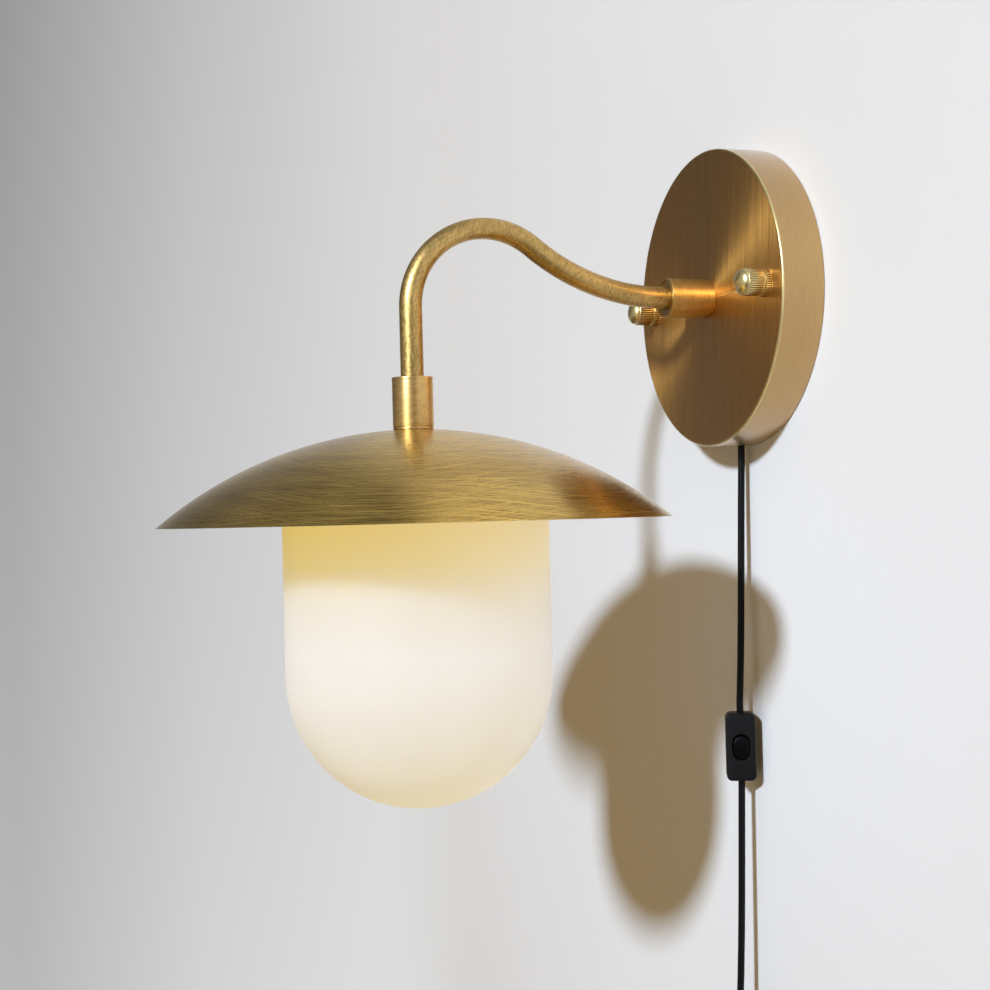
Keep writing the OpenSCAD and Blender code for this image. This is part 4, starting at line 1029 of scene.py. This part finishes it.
cord_black = plain("cord_sheath", (0.004, 0.004, 0.0045), 0.34, grain=900, bump=0.08, specular=0.15)
shell_black = plain("switch_plastic", (0.005, 0.005, 0.0055), 0.42, grain=2600, bump=0.2, specular=0.22)
button_black = plain("button_plastic", (0.003, 0.003, 0.0035), 0.30, grain=1600, bump=0.05, specular=0.1)
rubber = plain("black_rubber", (0.015, 0.015, 0.015), 0.6)
white_wire = plain("white_insulation", (0.75, 0.74, 0.70), 0.45)
strap_black = plain("strap_weave", (0.018, 0.018, 0.020), 0.85, grain=1500, bump=0.8, specular=0.2)
zinc = plain("zinc_plate", (0.62, 0.63, 0.64), 0.32, grain=500, metal=1.0, cloudy=0.1)
nickel = plain("blade_nickel", (0.70, 0.68, 0.63), 0.25, grain=800, metal=1.0, cloudy=0.05)
porcelain = plain("holder_plastic", (0.80, 0.79, 0.75), 0.4, cloudy=0.04)
bulb_metal = plain("bulb_cap_metal", (0.72, 0.72, 0.73), 0.3, metal=1.0)
frosted = plain("bulb_frosted", (0.88, 0.87, 0.84), 0.5, cloudy=0.02)

# %% Paint the plain pieces
for finish, pieces in (
    (cord_black, (mains_cord, sheath_inside, leads[0])),
    (shell_black, (switch_front, switch_back, plug)),
    (button_black, (rocker,)),
    (strap_black, (tie, lap)),
    (white_wire, (leads[1],)),
):
    for piece in pieces:
        paint(piece, finish)
for finish, names in (
    (rubber, ("cord_grommet", "glass_ring")),
    (zinc, ("cord_stop", "wall_strap", "strap_studs", "arm_lock_washer", "switch_screw")),
    (nickel, ("plug_blades",)),
    (porcelain, ("lamp_holder_cap", "lamp_holder_sleeve")),
    (bulb_metal, ("bulb_cap",)),
    (frosted, ("bulb_glass",)),
):
    for name in names:
        paint(nodes[name], finish)
print("plain finishes done")

# %% [markdown]
# ## The room
# The lamp hangs on a pale painted wall over a pale floor. The wall is one-sided and has an opening
# behind the plate's hollow: seen from behind it lets the view and the light through, so the back of
# the plate can be looked at too. A long wall grows darker away from its window. Here that dusk is
# in the paint, and only a view or a mirror sees it, so that it takes no light from the lamp.

# %% The far end of the wall
NEAR_REACH, NEAR_FALL = 0.703, -0.937
DUSK_EDGE = (0.975, 0.78)
DUSK_GREYS = ((0.2, 0.405), (0.5, 0.58), (0.9, 0.73))
EYE_DROP, UPWARD_LOSS = 0.09, -0.8


def nearness(add, place):
    """1 beside the lamp, falling to 0 along the wall to the far left."""
    x = add("SeparateXYZ", {0: place}).outputs["X"]
    away = figure(add, "MULTIPLY_ADD", x, NEAR_FALL, NEAR_REACH)
    return figure(add, "DIVIDE", 1.0, figure(add, "MAXIMUM", away, 1.0))


def dusk_share(add, place):
    """How much of the wall's look comes from the dusk: none beside the lamp, all of it far away."""
    far = ranged(add, nearness(add, place), *DUSK_EDGE, 0.0, 1.0, interpolation_type="SMOOTHSTEP")
    path = add("LightPath").outputs
    view = figure(add, "MAXIMUM", path["Is Camera Ray"], path["Is Glossy Ray"])
    view = figure(add, "MAXIMUM", view, path["Is Transmission Ray"])
    return figure(add, "MULTIPLY", far, view)


def dusk_tone(add, place):
    """The grey that the wall fades into, darker to the far left and upwards."""
    near = nearness(add, place)
    tone = ramp(add, near, [(stop, (grey, grey, grey)) for stop, grey in DUSK_GREYS])
    z = add("SeparateXYZ", {0: place}).outputs["Z"]
    above = figure(add, "MULTIPLY", figure(add, "ADD", z, EYE_DROP), near)
    loss = figure(add, "MULTIPLY", above, figure(add, "SUBTRACT", 1.0, near))
    level = figure(add, "MULTIPLY_ADD", loss, UPWARD_LOSS, 1.0)
    return add("Emission", {"Color": tone, "Strength": level}).outputs[0]


# %% Wall and floor paint
def paint_coat(name, colour, dusk=False, in_metal=None):
    """Matt paint with a faint roller texture, seen through from behind.

    dusk lets what a view sees of the paint grow darker towards the far left and a little upwards.
    in_metal is a darker colour that polished things mirror in place of the paint: a painted reflection.
    """
    finish, tree, shader, add = new_finish(name)
    place = add("TexCoord").outputs["Object"]
    low, high = [c * 0.985 for c in colour], [c * 1.015 for c in colour]
    feed(tree, shader, {
        "Base Color": ramp(add, noise(add, place, 3.0), [(0.3, low), (0.7, high)]),
        "Normal": bumps(add, noise(add, place, 90.0, 6.0, 0.6), 0.12, 0.0004),
        "Roughness": 0.85, "Specular IOR Level": 0.2,
    })
    coat = shader.outputs[0]
    if dusk:
        coat = mixed(add, dusk_share(add, place), coat, dusk_tone(add, place))
    # Painted reflection: polished things mirror the darker colour instead of the paint.
    if in_metal:
        mirrored = add("BsdfDiffuse", {"Color": (*in_metal, 1)}).outputs[0]
        coat = mixed(add, add("LightPath").outputs["Is Glossy Ray"], coat, mirrored)
    behind = add("NewGeometry").outputs["Backfacing"]
    both = mixed(add, behind, coat, add("BsdfTransparent").outputs[0])
    feed(tree, tree.nodes["Material Output"], {"Surface": both})
    return finish


# %% Wall and floor
WALL_Y, FLOOR_Z, ROOM = 0.0003, -2.2, 6.0
OPENING_R, OPENING_STEPS = 0.0615, 64


def stage_sheet(name, points, faces, finish):
    """A flat piece of the room, which is no part of the lamp."""
    mesh = bpy.data.meshes.new(name)
    mesh.from_pydata(points, [], faces)
    mesh.materials.append(finish)
    new_object(name, mesh)


ring = [2 * math.pi * k / OPENING_STEPS for k in range(OPENING_STEPS)]
points = [(OPENING_R * math.cos(a), WALL_Y, OPENING_R * math.sin(a)) for a in ring]
for a in ring:
    reach = 1 / max(abs(math.cos(a)), abs(math.sin(a)))
    high = ROOM if math.sin(a) > 0 else -FLOOR_Z
    points.append((ROOM * reach * math.cos(a), WALL_Y, high * reach * math.sin(a)))
faces = []
for k in range(OPENING_STEPS):
    following = (k + 1) % OPENING_STEPS
    faces.append((k, OPENING_STEPS + k, OPENING_STEPS + following, following))
stage_sheet("room_wall", points, faces, paint_coat("wall_paint", (0.80, 0.80, 0.80), dusk=True))
# The floor is pale, but polished metal mirrors it dark: a painted reflection that shades the metal's
# undersides.
stage_sheet("room_floor", [
    (-ROOM, -ROOM, FLOOR_Z), (ROOM, -ROOM, FLOOR_Z), (ROOM, WALL_Y, FLOOR_Z), (-ROOM, WALL_Y, FLOOR_Z),
], [(0, 1, 2, 3)], paint_coat("floor_paint", (0.76, 0.73, 0.68), in_metal=(0.2, 0.19, 0.17)))
print("wall faces:", len(faces))

# %% [markdown]
# ## Light
# One small cool lamp, over the left shoulder of someone who looks along the wall at the lamp, gives
# the shadow its edge. A warm surround fills it, stronger on that lamp's side. Polished metal and the
# view itself see a plain grey surround in its place, with a dark corner and a darker ceiling, because
# metal looks like metal only when it mirrors something dark too.

# %% Key light
KEY_PLACE, KEY_AIM = Vector((2.27, -3.53, 1.70)), Vector((0, -0.1, -0.12))
KEY_POWER, KEY_COLOUR = 80.5, (0.74, 0.853, 1.0)
KEY_SIZE, KEY_SPREAD = 0.46, math.radians(110)

key_light = bpy.data.lights.new("key", "AREA")
key_light.shape = "DISK"
key_light.size = KEY_SIZE
key_light.energy = KEY_POWER
key_light.color = KEY_COLOUR
key_light.spread = KEY_SPREAD
key = new_object("key", key_light)
key.location = KEY_PLACE
key.rotation_mode = "QUATERNION"
key.rotation_quaternion = (KEY_AIM - KEY_PLACE).to_track_quat("-Z", "Y")
print("key light at", [round(c, 2) for c in KEY_PLACE])

# %% Surround
FILL_COLOUR, FILL_LEVELS = (1.0, 0.60, 0.11), (0.14, 0.46)
GREY_COLOUR, GREY_LEVEL = (1.0, 1.0, 1.0), 0.30
DARK_CORNER, DARK_EDGE, DARK_LEVEL = (-0.85, -0.5, 0.35), (0.84, 0.98), 0.08
OVERHEAD_EDGE, OVERHEAD_LEVEL = (0.3, 0.95), 0.17

room = bpy.data.worlds.new("room")
bpy.context.scene.world = room
room.use_nodes = True
tree = room.node_tree
add = node_adder(tree)
way = add("TexCoord").outputs["Generated"]
parts = add("SeparateXYZ", {0: way}).outputs
to_corner = add("VectorMath", {0: way, 1: Vector(DARK_CORNER).normalized()}, operation="DOT_PRODUCT")
corner = ranged(add, to_corner.outputs["Value"], *DARK_EDGE, GREY_LEVEL, DARK_LEVEL)
overhead = ranged(add, parts["Z"], *OVERHEAD_EDGE, GREY_LEVEL, OVERHEAD_LEVEL)
mirrored = figure(add, "MINIMUM", corner, overhead)
sideways = ranged(add, parts["X"], -1.0, 1.0, *FILL_LEVELS)
grey = add("Background", {"Color": (*GREY_COLOUR, 1), "Strength": mirrored}).outputs[0]
warm = add("Background", {"Color": (*FILL_COLOUR, 1), "Strength": sideways}).outputs[0]
seen = mixed(add, add("LightPath").outputs["Is Diffuse Ray"], grey, warm)
feed(tree, tree.nodes["World Output"], {"Surface": seen})
bpy.context.scene.view_settings.view_transform = "Standard"
print("surround for metal at a level of", GREY_LEVEL)
